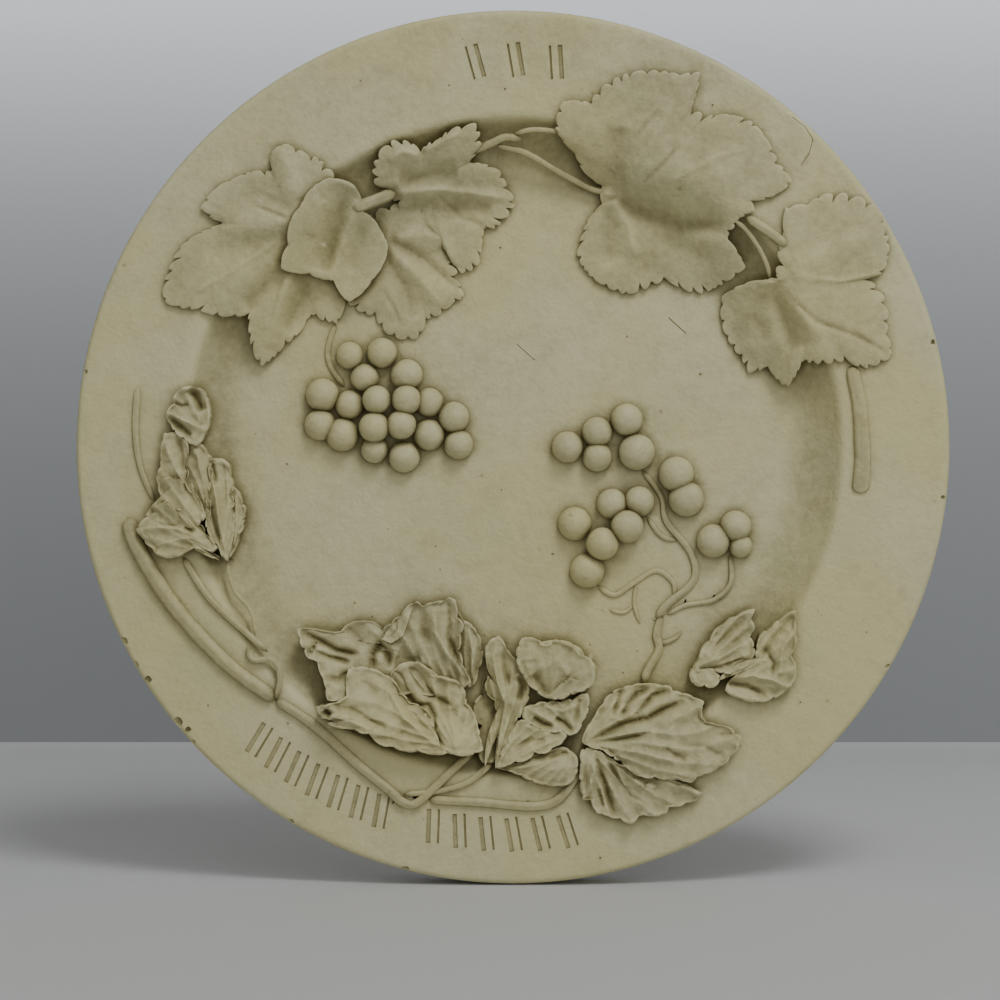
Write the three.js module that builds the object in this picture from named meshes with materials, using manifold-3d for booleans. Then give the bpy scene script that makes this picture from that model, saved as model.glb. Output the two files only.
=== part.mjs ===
// A round wall plaque cast in one piece: a plate with a broad rim round a hollowed floor, and
// on it a relief of vine leaves, two bunches of grapes, canes and withered leaves.
// Millimetres. The plaque hangs upright: X runs to the right, Z up, and the front faces -Y.
// The back lies in the plane y = 0, and the origin is the middle of the back.
// A height is a distance from the wall, so a point of that height has y = -height.

import * as THREE from "three";
import { mergeVertices } from "three/addons/utils/BufferGeometryUtils.js";
import Module from "manifold-3d";

const wasm = await Module();
wasm.setup();

// ---- Driving dimensions --------------------------------------------------------------------

const PLATE_RADIUS = 175;
const BACK_RADIUS = 169; // the flat of the back ends here, and the edge rounds forward
const EDGE_ROUND = 2.5; // rounding between the outer edge and the rim's face
const RIM_HEIGHT = 22;
const FLOOR_HEIGHT = 10;
const LIP_RADIUS = 132; // inner edge of the rim
const FLOOR_RADIUS = 112; // the cove between rim and floor ends here
const LIP_ROUND = 2;
const DRAPE_RADIUS = 98; // a leaf that hangs over the lip reaches the floor here
const PLATE_SIDES = 64;
const ROOT_HEIGHT = 5; // cast-on forms reach down to here, inside the plate
const MERGE_DISTANCE = 1e-3;

const GRAPE_SIDES = 7;
const GRAPE_RINGS = 5;
const SHEET_SPOKES = 15;
const LEAF_TOOTH_HEIGHT = 1.1;
const OUTLINE_BULGE = 1.2; // above 1 the outline bulges between a notch and a tip
const LETTER_BAND_RADIUS = 155; // middle of the band of incised strokes
const STROKE_LENGTH = 13;
const STROKE_LEAN = -10; // every stroke leans the same way from the way out
const STROKE_WIDTH = 1.8;
const STROKE_DEPTH = 1;

const degrees = THREE.MathUtils.degToRad;
const { smoothstep, lerp, euclideanModulo } = THREE.MathUtils;

// ---- Solids from geometries ----------------------------------------------------------------

// Turns a closed geometry into a solid, whichever way round its faces came.
function solid(geometry) {
  geometry.deleteAttribute("normal");
  geometry.deleteAttribute("uv");
  const merged = mergeVertices(geometry, MERGE_DISTANCE);
  const points = merged.attributes.position.array;
  const corner = (i) => new THREE.Vector3().fromArray(points, 3 * i);
  const triangles = [];
  let volume = 0;
  for (let i = 0; i < merged.index.count; i += 3) {
    const [a, b, c] = merged.index.array.slice(i, i + 3);
    if (a === b || b === c || c === a) continue;
    triangles.push([a, b, c]);
    volume += corner(a).dot(corner(b).cross(corner(c)));
  }
  const outward = volume > 0 ? triangles : triangles.map(([a, b, c]) => [a, c, b]);
  const mesh = new wasm.Mesh({
    numProp: 3,
    vertProperties: new Float32Array(points),
    triVerts: new Uint32Array(outward.flat()),
  });
  return new wasm.Manifold(mesh);
}

// Moves every vertex of a geometry to where a function puts it.
function reshape(geometry, place) {
  const positions = geometry.attributes.position;
  const point = new THREE.Vector3();
  for (let i = 0; i < positions.count; i++) {
    point.fromBufferAttribute(positions, i);
    const moved = place(point);
    positions.setXYZ(i, moved.x, moved.y, moved.z);
  }
  return geometry;
}

// ---- The plate -----------------------------------------------------------------------------

// Height of the plate under a leaf or a cane that bridges the cove.
function drapeHeight(x, z) {
  const over = smoothstep(Math.hypot(x, z), DRAPE_RADIUS, LIP_RADIUS);
  return lerp(FLOOR_HEIGHT, RIM_HEIGHT, over);
}

function plate() {
  const section = [
    [0, 0],
    [BACK_RADIUS, 0],
    [PLATE_RADIUS, RIM_HEIGHT / 3],
    [PLATE_RADIUS, RIM_HEIGHT - EDGE_ROUND],
    [PLATE_RADIUS - EDGE_ROUND / 3, RIM_HEIGHT - EDGE_ROUND / 3],
    [PLATE_RADIUS - EDGE_ROUND, RIM_HEIGHT],
    [LIP_RADIUS, RIM_HEIGHT],
  ];
  const coveSteps = 3;
  const coveWidth = LIP_RADIUS - LIP_ROUND - FLOOR_RADIUS;
  const coveHeight = RIM_HEIGHT - LIP_ROUND / 2 - FLOOR_HEIGHT;
  for (let i = coveSteps; i >= 0; i--) {
    const out = i / coveSteps;
    section.push([FLOOR_RADIUS + coveWidth * out, FLOOR_HEIGHT + coveHeight * out ** 2]);
  }
  section.push([0, FLOOR_HEIGHT]);
  const points = section.map(([radius, height]) => new THREE.Vector2(radius, -height));
  return solid(new THREE.LatheGeometry(points, PLATE_SIDES));
}

// ---- Leaves --------------------------------------------------------------------------------

// A leaf's outline, as its reach from its middle at a bearing. The given points are the tips of
// its lobes and the bottoms of its notches, in order of their bearing, and the outline bulges
// between them, so that a tip stays broad and a notch sharp.
function outlineReach(outline, bearing) {
  const count = outline.length;
  for (let i = 0; i < count; i++) {
    const [startBearing, startReach] = outline[i];
    const [endBearing, endReach] = outline[(i + 1) % count];
    const span = euclideanModulo(endBearing - startBearing, 360);
    const along = euclideanModulo(bearing - startBearing, 360) / span;
    if (along > 1) continue;
    const bulge = endReach < startReach ? along ** OUTLINE_BULGE : 1 - (1 - along) ** OUTLINE_BULGE;
    return lerp(startReach, endReach, bulge);
  }
  return outline[0][1];
}

// How far a point lies between the two folds on either side of it, as 0 in a fold and 1 halfway.
function puff(folds, bearing) {
  const next = folds.findIndex((fold) => fold > bearing);
  const after = next < 0 ? 0 : next;
  const before = (after + folds.length - 1) % folds.length;
  const span = euclideanModulo(folds[after] - folds[before], 360) || 360;
  return Math.sin((Math.PI * euclideanModulo(bearing - folds[before], 360)) / span);
}

// A leaf lying on the plate, thick enough to be cast with it. Its edge is undercut a little.
// middle and stalk are [x, z]; folds are bearings from the stalk along which it is creased.
function leaf({
  middle, stalk = middle, outline, folds, lift,
  fold = 2, droop = 1.5, teeth = 0, spokes = 34,
}) {
  const undercut = 0.93;
  const frontRings = [0, 0.55, 1];
  const section = frontRings.map((ring) => new THREE.Vector2(ring, 1));
  section.push(new THREE.Vector2(undercut, 0), new THREE.Vector2(0, 0));
  const blank = new THREE.LatheGeometry(section, spokes);
  const place = ({ x: across, y: front, z: up }) => {
    const ring = Math.hypot(across, up);
    const bearing = euclideanModulo(THREE.MathUtils.radToDeg(Math.atan2(up, across)), 360);
    const spoke = Math.round((bearing / 360) * spokes);
    const tooth = teeth * (spoke % 2 ? 1 : -1);
    const reach = ring * (outlineReach(outline, bearing) + tooth);
    const x = middle[0] + reach * Math.cos(degrees(bearing));
    const z = middle[1] + reach * Math.sin(degrees(bearing));
    if (front < 0.5) return new THREE.Vector3(x, -ROOT_HEIGHT, z);
    const fromStalk = new THREE.Vector2(x - stalk[0], z - stalk[1]);
    const foldBearing = THREE.MathUtils.radToDeg(fromStalk.angle());
    const raised = fold * puff(folds, foldBearing) * Math.min(1, fromStalk.length() / 12);
    const height = drapeHeight(x, z) + lift + raised - droop * ring ** 2;
    return new THREE.Vector3(x, -height, z);
  };
  return solid(reshape(blank, place));
}

const freshLeaves = [
  {
    // the broad leaf at the upper left
    middle: [-86, 88],
    lift: 4.5,
    outline: [
      [30, 20], [62, 26], [84, 29], [100, 33], [110, 31], [116, 24], [142, 31], [160, 37],
      [169, 39], [178, 30], [190, 47], [209, 61], [220, 51], [240, 40], [254, 57], [263, 46],
      [277, 34], [291, 40], [302, 34], [330, 22],
    ],
    folds: [20, 62, 110, 165, 212, 250, 296],
  },
  {
    // the leaf at the top, with a curled lobe
    middle: [-35, 105],
    stalk: [-48, 101],
    lift: 4.5,
    outline: [
      [0, 32], [11, 30], [28, 19], [36, 27], [50, 31], [60, 26], [74, 18], [98, 13], [112, 18],
      [132, 22], [150, 22], [172, 21], [200, 14], [261, 13], [285, 24], [292, 37], [302, 38],
      [313, 32], [324, 28], [330, 32], [350, 36],
    ],
    folds: [15, 50, 110, 190, 265, 325],
  },
  {
    // the leaf below it
    middle: [-43, 74],
    stalk: [-56, 76],
    lift: 3.5,
    outline: [
      [5, 18], [24, 19], [34, 24], [58, 24], [100, 24], [128, 24], [150, 21], [190, 21],
      [215, 28], [228, 26], [239, 24], [250, 28], [264, 30], [278, 30], [290, 23], [304, 24],
      [319, 24], [330, 26], [343, 21], [353, 20],
    ],
    folds: [30, 90, 200, 265, 335],
  },
  {
    // the largest leaf, at the upper right
    spokes: 40,
    middle: [51, 105],
    stalk: [37, 103],
    lift: 4.5,
    outline: [
      [1, 60], [9, 55], [28, 51], [36, 46], [46, 37], [56, 36], [62, 50], [70, 46], [88, 45],
      [104, 43], [122, 38], [134, 45], [147, 40], [155, 28], [178, 15], [204, 16], [218, 28],
      [228, 37], [244, 41], [263, 43], [276, 40], [286, 38], [300, 49], [322, 53], [329, 40],
      [341, 41], [347, 46], [351, 45], [355, 53],
    ],
    folds: [0, 40, 70, 140, 200, 260, 330],
  },
  {
    // the leaf at the right
    middle: [117, 63],
    stalk: [104, 68],
    lift: 4.5,
    outline: [
      [9, 25], [12, 31], [28, 37], [48, 43], [62, 42], [80, 38], [88, 34], [104, 33], [113, 23],
      [134, 15], [152, 13], [165, 15], [174, 24], [184, 32], [206, 35], [228, 36], [237, 39],
      [245, 33], [260, 39], [268, 28], [284, 30], [299, 32], [307, 39], [322, 43], [332, 36],
      [347, 33],
    ],
    folds: [10, 60, 130, 225, 285, 325],
  },
];

// The small smooth leaf that lies on top, cupped.
const cuppedLeaf = {
  middle: [-71, 84],
  lift: 8.5,
  fold: 1.5,
  droop: 0,
  spokes: 28,
  outline: [
    [10, 18], [44, 15], [72, 22], [95, 23], [138, 18], [190, 19], [210, 25], [232, 18],
    [266, 17], [281, 26], [310, 22], [349, 21],
  ],
  folds: [80, 150, 215, 285, 350],
};

// A withered leaf is crumpled, so it is a few sheets that overlap, each with its corners as
// [x, z] in order round it.
const witheredSheets = [
  // the small one at the left
  {
    middle: [-130, 13.5], lift: 6.5, droop: 2,
    corners: [
      [-138.5, 17], [-133, 22.5], [-129, 24], [-125, 23], [-122, 20], [-121, 14], [-123.5, 6.5],
      [-127, 4], [-132, 4], [-138.5, 10.5],
    ],
  },
  {
    middle: [-134, -14], lift: 7, droop: 4,
    corners: [
      [-138.5, 5.5], [-133, 5.5], [-130, 3], [-130, -13], [-122.5, -28], [-126, -32],
      [-136, -32], [-146, -27], [-140, -19.5], [-142, -12], [-140, -8],
    ],
  },
  {
    middle: [-111, -29], lift: 4, droop: 2,
    corners: [
      [-114, -15], [-111, -17], [-109, -22], [-108, -27], [-108.5, -31], [-110, -35],
      [-111, -40], [-113, -44], [-114, -34], [-114, -25],
    ],
  },
  {
    middle: [-117, -22], lift: 6, droop: 4,
    corners: [
      [-121, -5], [-117, -4.5], [-114, -6.5], [-111.5, -30], [-114, -45.5], [-121, -35.5],
      [-122.5, -30], [-120.5, -25], [-122.5, -20], [-121, -14],
    ],
  },
  {
    middle: [-133, -34], lift: 6.5, droop: 3,
    corners: [
      [-150, -32.5], [-139, -24], [-128.5, -26], [-117.5, -40], [-114.5, -45.5], [-117, -45],
      [-123.5, -40], [-127, -40], [-135, -44], [-140, -43.5],
    ],
  },
  // the largest, at the lower left: its back, then its folded front
  {
    middle: [-20, -82], lift: 4.5, droop: 2,
    corners: [
      [-23, -66], [-20, -70], [-15, -74], [-13, -80], [-14, -89], [-17, -97], [-27, -94],
      [-30, -73],
    ],
  },
  {
    middle: [-46, -82], lift: 7, droop: 0.5,
    corners: [
      [-86, -72.5], [-69, -74], [-66, -71], [-57, -70], [-52.5, -73.5], [-39, -62], [-36, -64],
      [-25.5, -60], [-23, -62], [-22.5, -67], [-20, -71], [-21.5, -82], [-17, -95], [-24, -98],
      [-39, -98], [-56, -95], [-68, -100.5], [-73.5, -101], [-78, -86], [-82, -84],
    ],
  },
  {
    middle: [-50, -107], lift: 10.5, droop: 5.5,
    corners: [
      [-65, -87.5], [-59.5, -88], [-47.5, -94], [-41, -102.5], [-36, -104], [-32.5, -107.5],
      [-29, -119], [-26, -121.5], [-47.5, -119], [-55, -116.5], [-57, -113.5], [-70, -108.5],
      [-73.5, -109.5], [-78, -103], [-70, -101.5], [-66, -99],
    ],
  },
  {
    middle: [-28, -105], lift: 10, droop: 5,
    corners: [
      [-49, -91], [-47, -88], [-37.5, -86.5], [-30, -92], [-22.5, -94], [-20, -97], [-19, -103],
      [-15, -109], [-12, -120.5], [-26, -121.5], [-35.5, -113],
    ],
  },
  // at the bottom: a blade, a cupped lobe, folds and a low lobe
  {
    middle: [-3, -100], lift: 7, droop: 3.5,
    corners: [
      [-11, -80], [-6, -76], [2.5, -88], [6.5, -97], [6.5, -100], [-7, -128], [-11, -127],
      [-6, -114], [-8, -94], [-10, -92],
    ],
  },
  {
    middle: [17, -89], lift: 9, droop: 2.5,
    corners: [
      [3.5, -77], [11.5, -78.5], [17.5, -77.5], [24, -79], [33, -88], [32, -95], [18.5, -101.5],
      [11, -99.5], [3, -90], [1.5, -81.5],
    ],
  },
  {
    middle: [18, -107], lift: 7.5, droop: 3.5,
    corners: [
      [4, -105], [24, -101.5], [28, -99], [30, -99], [30, -105.5], [25.5, -114], [22.5, -115],
      [20, -113.5], [15.5, -114], [4, -109.5],
    ],
  },
  {
    middle: [7, -117], lift: 7, droop: 3.5,
    corners: [
      [0, -110.5], [4, -109.5], [15.5, -114], [20, -113.5], [21.5, -115], [20, -117.5],
      [15.5, -120], [8.5, -121.5], [-6.5, -127.5], [-2, -118],
    ],
  },
  {
    middle: [13, -128], lift: 4.5, droop: 3,
    corners: [
      [-6.5, -128], [1, -126], [8, -123], [15.5, -121], [22.5, -121], [25.5, -124], [25.5, -130],
      [23, -134], [17.5, -135], [13, -134.5],
    ],
  },
  // at the lower right: the lower lobe, then the long one
  {
    middle: [45, -136], lift: 5, droop: 2.5,
    corners: [
      [27.5, -120.5], [33, -120.5], [49.5, -131.5], [65, -133], [75, -138], [73, -141],
      [62.5, -143.5], [61, -146], [52, -146.5], [47, -150], [33.5, -145.5], [31, -140.5],
      [28, -140.5],
    ],
  },
  {
    middle: [56, -114], lift: 7.5, droop: 4.5,
    corners: [
      [27.5, -118], [29.5, -112.5], [40, -98.5], [48.5, -95.5], [63, -96], [76, -101.5],
      [75, -107.5], [86, -111.5], [91, -116], [84, -126], [73, -131], [71, -133.5], [50, -131],
      [36.5, -121],
    ],
  },
  // at the right: a rolled edge and two lobes
  {
    middle: [77, -93], lift: 6, droop: 4,
    corners: [
      [70.5, -91], [73, -89], [77, -88], [82, -89.5], [83.5, -93], [82, -97], [78, -98.5],
      [73, -97.5], [71, -95],
    ],
  },
  {
    middle: [87, -79], lift: 7, droop: 3.5,
    corners: [
      [73, -86.5], [76, -83], [79.5, -75], [86, -69], [94, -64.5], [95, -70], [95, -77],
      [94, -84], [90, -88], [84, -88.5],
    ],
  },
  {
    middle: [101, -86], lift: 7, droop: 4,
    corners: [
      [98, -74], [110, -66], [113, -68.5], [111, -77], [111, -93], [107.5, -97.5], [98, -102],
      [85, -97.5], [83, -93.5], [94, -88],
    ],
  },
];

// The corners of a sheet as bearings and reaches from its middle, as leaf() takes them.
function outlineFromCorners(middle, corners) {
  const polar = corners.map(([x, z]) => {
    const away = new THREE.Vector2(x - middle[0], z - middle[1]);
    return [THREE.MathUtils.radToDeg(away.angle()), away.length()];
  });
  return polar.sort((a, b) => a[0] - b[0]);
}

function witheredSheet({ middle, corners, ...form }) {
  const outline = outlineFromCorners(middle, corners);
  const folds = [15, 60, 95, 130, 170, 215, 260, 300, 335];
  return leaf({ middle, outline, folds, fold: 1.5, spokes: SHEET_SPOKES, ...form });
}

// ---- Grapes --------------------------------------------------------------------------------

const GRAPE_RISE = 2.5; // a grape's middle above the floor
const FRONT_GRAPE_RISE = 6;

// Each grape is [x, z, radius]; the last few of a bunch lie on top of the others.
const leftBunch = {
  back: [
    [-66, 37, 5.6], [-53, 38, 6.2], [-60, 28, 5.8], [-43, 29, 6.6], [-77, 21, 6.8],
    [-34, 18, 6], [-24, 12, 6.4], [-78, 9, 6.4], [-69, 5, 6.8], [-34, 5, 6.4], [-22, 1, 6],
    [-56, -1, 5.6], [-44, -4, 6.4], [-66, 17, 6],
  ],
  front: [[-55, 19, 5.8], [-43, 19, 6], [-56, 8, 6.2], [-45, 9, 6]],
};
const rightBunch = {
  back: [
    [22, 0, 6.4], [34, 6, 6.2], [34, -4, 6], [46, 11, 6.6], [50, -2, 7.4], [66, -11, 7.2],
    [70, -21, 7.2], [40, -23, 6.2], [51, -22, 6.2], [25, -31, 6.8], [30, -50, 7],
    [81, -38, 6.8], [90, -32, 6.4], [92, -40, 4.8],
  ],
  front: [[46, -32, 6.6], [36, -39, 6.6]],
};

function grapes({ back, front }) {
  const grape = (rise) => ([x, z, radius]) => {
    const ball = new THREE.SphereGeometry(radius, GRAPE_SIDES, GRAPE_RINGS);
    ball.rotateX(Math.PI / 2);
    ball.translate(x, -(FLOOR_HEIGHT + rise), z);
    return solid(ball);
  };
  return [...back.map(grape(GRAPE_RISE)), ...front.map(grape(FRONT_GRAPE_RISE))];
}

// ---- Stems and canes -----------------------------------------------------------------------

// A round stem through [x, z] points, half sunk in what it lies on, with a radius at each end.
function stem({ through, from, to = from, rise = 0, sides = 4, steps = 5 }) {
  const points = through.map(([x, z]) => new THREE.Vector3(x, -(drapeHeight(x, z) + rise), z));
  const line = new THREE.CatmullRomCurve3(points);
  const blank = new THREE.CylinderGeometry(1, 1, 1, sides, steps);
  const front = new THREE.Vector3(0, -1, 0);
  const place = ({ x: across, y: along, z: out }) => {
    const at = along + 0.5;
    const radius = lerp(from, to, at);
    const side = line.getTangentAt(at).cross(front).normalize();
    const point = line.getPointAt(at);
    return point.addScaledVector(side, radius * across).addScaledVector(front, radius * out);
  };
  return solid(reshape(blank, place));
}

const stems = [
  // the branch across the top, its twig and the two leaf stalks
  { through: [[-18, 118], [-8, 122], [-3, 124], [4, 123]], from: 1.6, steps: 4 },
  { through: [[0, 125], [8, 127], [20, 126]], from: 1, steps: 4 },
  { through: [[-7, 121], [5, 118], [18, 111], [32, 104], [38, 103]], from: 1.2, rise: 0.5 },
  { through: [[-65, 95], [-56, 98.5], [-47, 102]], from: 2.4, rise: 5, steps: 4 },
  { through: [[93, 92], [102, 86], [110, 80]], from: 2, rise: 1, steps: 4 },
  { through: [[88, 91], [93, 87], [98, 80], [101.5, 73], [103, 67]], from: 0.9, rise: 1, steps: 5 },
  // the thick stem at the right, cut off below
  {
    through: [[137, 33], [139, 18], [140, 5], [139, -17]],
    from: 2.8, to: 3.4, rise: 0.5, sides: 6, steps: 5,
  },
  // the stalk of the left bunch
  { through: [[-72, 50], [-74.5, 42], [-75, 37], [-73.5, 32], [-68, 24]], from: 1.2, steps: 6 },
  // the branching stalk of the right bunch
  {
    through: [[52, -9], [60, -20], [62, -30], [72, -43], [73, -54], [62, -64], [58, -70]],
    from: 1.2, to: 1.8, steps: 9,
  },
  { through: [[54, -28], [60, -36], [67, -38]], from: 1, steps: 4 },
  { through: [[34, -56], [41, -60], [49, -55], [58, -50], [65, -55], [65, -61]], from: 1.1, steps: 9 },
  { through: [[50, -56], [49, -64], [42, -66]], from: 0.9, steps: 5 },
  { through: [[88, -43], [88, -55], [81, -62], [70, -64], [62, -68]], from: 1.1, steps: 8 },
  { through: [[60, -68], [58, -76], [59, -82], [54, -91], [53, -96]], from: 1.6, steps: 7 },
  { through: [[60, -79], [68, -75]], from: 0.8, steps: 2 },
  // the thin twig, the cane and the stalks along the lower left
  { through: [[-149, 24], [-151, 5], [-148, -12], [-143, -22]], from: 1.4, steps: 6 },
  {
    through: [[-154, -28], [-150, -40], [-136, -63], [-115, -86], [-95, -101]],
    from: 3.2, rise: 0.3, sides: 6, steps: 7,
  },
  { through: [[-132, -44], [-121, -61], [-107, -74], [-98, -82]], from: 1.3, rise: 0.5 },
  {
    through: [[-106, -79], [-104, -85], [-96, -85], [-93, -92], [-95, -101]],
    from: 1.2, rise: 1.5, steps: 8,
  },
  { through: [[-115, -45], [-112, -57], [-105, -66], [-103, -76]], from: 0.9, steps: 6 },
  { through: [[-95, -101], [-80, -111], [-62, -127], [-51, -136], [-43, -143]], from: 1.9, rise: 0.3 },
  { through: [[-43, -143], [-36, -141], [-25, -130], [-15, -121]], from: 1.7, rise: 1, steps: 7 },
  { through: [[-43, -138], [-30, -137], [-18, -134], [-8, -126]], from: 1.1, rise: 0.5, steps: 7 },
  { through: [[-34, -141], [-15, -142], [14, -143], [27, -130]], from: 1.8, steps: 7 },
];

// ---- Incised strokes -----------------------------------------------------------------------

// Rows of strokes round the rim: the bearings of the first and last place, and the places.
const strokeRows = [
  { first: 95.5, last: 83.5, places: 3 },
  { first: 229, last: 250, places: 7 },
  { first: 258, last: 278, places: 6 },
];

function stroke(bearing) {
  const cutter = new THREE.BoxGeometry(STROKE_WIDTH, 2 * STROKE_DEPTH, STROKE_LENGTH);
  cutter.rotateY(degrees(STROKE_LEAN));
  cutter.translate(0, -RIM_HEIGHT, LETTER_BAND_RADIUS);
  cutter.rotateY(degrees(90 - bearing));
  return solid(cutter);
}

function strokesOfRow({ first, last, places }) {
  const cutters = [];
  for (let i = 0; i < places; i++) {
    const bearing = lerp(first, last, i / (places - 1));
    cutters.push(stroke(bearing));
  }
  return cutters;
}

// ---- The plaque ----------------------------------------------------------------------------

function plaqueGeometry() {
  let whole = plate();
  const added = [
    ...freshLeaves.map((fresh) => leaf({ teeth: LEAF_TOOTH_HEIGHT, ...fresh })),
    leaf(cuppedLeaf),
    ...witheredSheets.map(witheredSheet),
    ...grapes(leftBunch),
    ...grapes(rightBunch),
    ...stems.map(stem),
  ];
  for (const form of added) whole = whole.add(form);
  for (const cutter of strokeRows.flatMap(strokesOfRow)) whole = whole.subtract(cutter);
  const { vertProperties, triVerts } = whole.getMesh();
  const geometry = new THREE.BufferGeometry();
  geometry.setAttribute("position", new THREE.BufferAttribute(vertProperties, 3));
  geometry.setIndex(new THREE.BufferAttribute(triVerts, 1));
  geometry.computeVertexNormals();
  return geometry;
}

const castPlaster = new THREE.MeshStandardMaterial({ color: 0xbdb38d, roughness: 0.75, metalness: 0 });
const plaque = new THREE.Mesh(plaqueGeometry(), castPlaster);
plaque.name = "plaque";

const part = new THREE.Group();
part.add(plaque);

export default part;
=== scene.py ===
# %% [markdown]
# # A round wall plaque with a vine in relief
# The real thing is one casting in plaster: a plate with a broad plain rim round a hollowed
# floor, and on it a garland of vine leaves, two bunches of grapes, canes and withered leaves.
# The casting was toned olive brown and wiped, so the tone stays in the hollows.
# Each form is modelled as a closed mesh that reaches down into the plate. All of them are
# then joined into one solid, as the mould would have done, and the tone is a material, which
# also paints the shade in the hollows and the highlight on ridges.

# %% The frame
import math
import bpy
import numpy as np
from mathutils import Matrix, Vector
from mathutils.bvhtree import BVHTree


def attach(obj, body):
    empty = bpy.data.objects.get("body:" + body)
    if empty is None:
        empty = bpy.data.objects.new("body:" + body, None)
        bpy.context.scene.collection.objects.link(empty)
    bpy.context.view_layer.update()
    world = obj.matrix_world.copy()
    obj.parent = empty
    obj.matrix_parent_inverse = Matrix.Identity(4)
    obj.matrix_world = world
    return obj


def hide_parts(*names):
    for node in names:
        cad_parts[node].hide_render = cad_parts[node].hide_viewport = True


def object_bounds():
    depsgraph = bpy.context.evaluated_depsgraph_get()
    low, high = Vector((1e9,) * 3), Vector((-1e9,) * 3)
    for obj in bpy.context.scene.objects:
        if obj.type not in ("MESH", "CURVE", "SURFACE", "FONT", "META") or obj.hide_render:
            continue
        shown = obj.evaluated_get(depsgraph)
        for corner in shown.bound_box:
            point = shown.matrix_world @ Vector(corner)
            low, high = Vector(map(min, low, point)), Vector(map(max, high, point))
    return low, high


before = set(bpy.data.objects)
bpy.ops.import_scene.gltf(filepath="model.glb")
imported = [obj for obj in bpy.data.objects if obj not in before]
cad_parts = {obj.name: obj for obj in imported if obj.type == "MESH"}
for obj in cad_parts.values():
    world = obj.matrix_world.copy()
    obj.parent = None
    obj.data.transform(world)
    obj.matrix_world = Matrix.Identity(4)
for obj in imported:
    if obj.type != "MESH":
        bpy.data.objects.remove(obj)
cad_low, cad_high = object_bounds()
print("the plaque's box in mm:", [round(1000 * v, 1) for v in (*cad_low, *cad_high)])

# lengths are in millimetres, which MM turns into metres, and heights are above the wall
MM = 0.001
PLATE_RADIUS = (cad_high.x - cad_low.x) / 2 / MM
BACK_RADIUS = PLATE_RADIUS - 6
RIM_HEIGHT = 22
FLOOR_HEIGHT = 10
LIP_RADIUS = 132
COVE_RADIUS = LIP_RADIUS - 2
FLOOR_RADIUS = 112
COVE_CURVE = 2.1
# leaves and canes start to rise towards the rim at the first, and all are rooted at the second
DRAPE_RADIUS = 98
ROOT_HEIGHT = 5
TAU = 2 * math.pi

# %% [markdown]
# ## The camera
# The plaque is looked at squarely, from a little under a metre. The lens is shifted a little,
# so that the plaque lies above the middle of the view.

# %% Camera
def added(name, data):
    """A new object for some data, linked to the scene."""
    made = bpy.data.objects.new(name, data)
    bpy.context.scene.collection.objects.link(made)
    return made


VIEW_WIDTH = 0.4
VIEW_DISTANCE = 0.95
SENSOR = 36
camera_data = bpy.data.cameras.new("camera")
camera_data.sensor_width = SENSOR
camera_data.lens = SENSOR * VIEW_DISTANCE / VIEW_WIDTH
camera_data.shift_x = -0.013
camera_data.shift_y = -0.053
camera = added("camera", camera_data)
camera.location = (0, -VIEW_DISTANCE - RIM_HEIGHT * MM, 0)
camera.rotation_euler = (math.pi / 2, 0, 0)
bpy.context.scene.camera = camera

# %% [markdown]
# ## Blanks
# Every leaf, grape and stem starts as a UV sphere, because that primitive is closed, has its
# faces outwards and gives each vertex a ring and a segment. A function then says where the
# vertex of a ring and segment goes, much as a sculptor would pull a ball of clay into shape.

# %% Blanks
def blank(name, segments, rings):
    """A new unit ball, and the ring (0 at the front pole) and segment of its vertices."""
    bpy.ops.object.select_all(action="DESELECT")
    bpy.ops.mesh.primitive_uv_sphere_add(segments=segments, ring_count=rings, radius=1)
    ball = bpy.context.object
    ball.name = name
    points = np.empty(3 * len(ball.data.vertices))
    ball.data.vertices.foreach_get("co", points)
    x, y, z = points.reshape(-1, 3).T
    ring = np.rint(np.arccos(np.clip(z, -1, 1)) / math.pi * rings).astype(int)
    segment = np.rint(np.arctan2(y, x) / TAU * segments).astype(int) % segments
    return ball, ring, segment


def put(ball, x, height, z):
    """Moves the vertices to x and z in millimetres, at a height above the wall."""
    points = np.column_stack([x, -height, z]) * MM
    ball.data.vertices.foreach_set("co", points.ravel())
    ball.data.update()
    return ball


def smoothstep(value, low, high):
    """0 below low and 1 above high, with a soft change between."""
    t = np.clip((value - low) / (high - low), 0, 1)
    return t * t * (3 - 2 * t)


def drape(x, z):
    """Height of the plate under a leaf or cane that bridges the cove."""
    over = smoothstep(np.hypot(x, z), DRAPE_RADIUS, LIP_RADIUS)
    return FLOOR_HEIGHT + (RIM_HEIGHT - FLOOR_HEIGHT) * over


def waves(x, z, size, seed):
    """Gentle unevenness between -1 and 1, about size millimetres from crest to crest."""
    turn = np.random.default_rng(seed).uniform(0, TAU, 8)
    total = 0
    for i in range(4):
        a = turn[i]
        scale = TAU / size * (0.7 + 0.25 * i)
        total = total + np.sin(scale * (x * math.cos(a) + z * math.sin(a)) + turn[i + 4])
    return total / 4

# %% [markdown]
# ## The plate
# The plate is turned: its half section is drawn once and spun round the middle in edit mode.
# The cove, from the floor up to the lip, is a curve that steepens outwards.

# %% Plate
EDGE_ROUNDING = 2.4
EDGE_STEPS = 5
COVE_STEPS = 12
TURN_STEPS = 288


def pick(body):
    """Selects one object alone and makes it the active one."""
    bpy.ops.object.select_all(action="DESELECT")
    body.select_set(True)
    bpy.context.view_layer.objects.active = body


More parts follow.
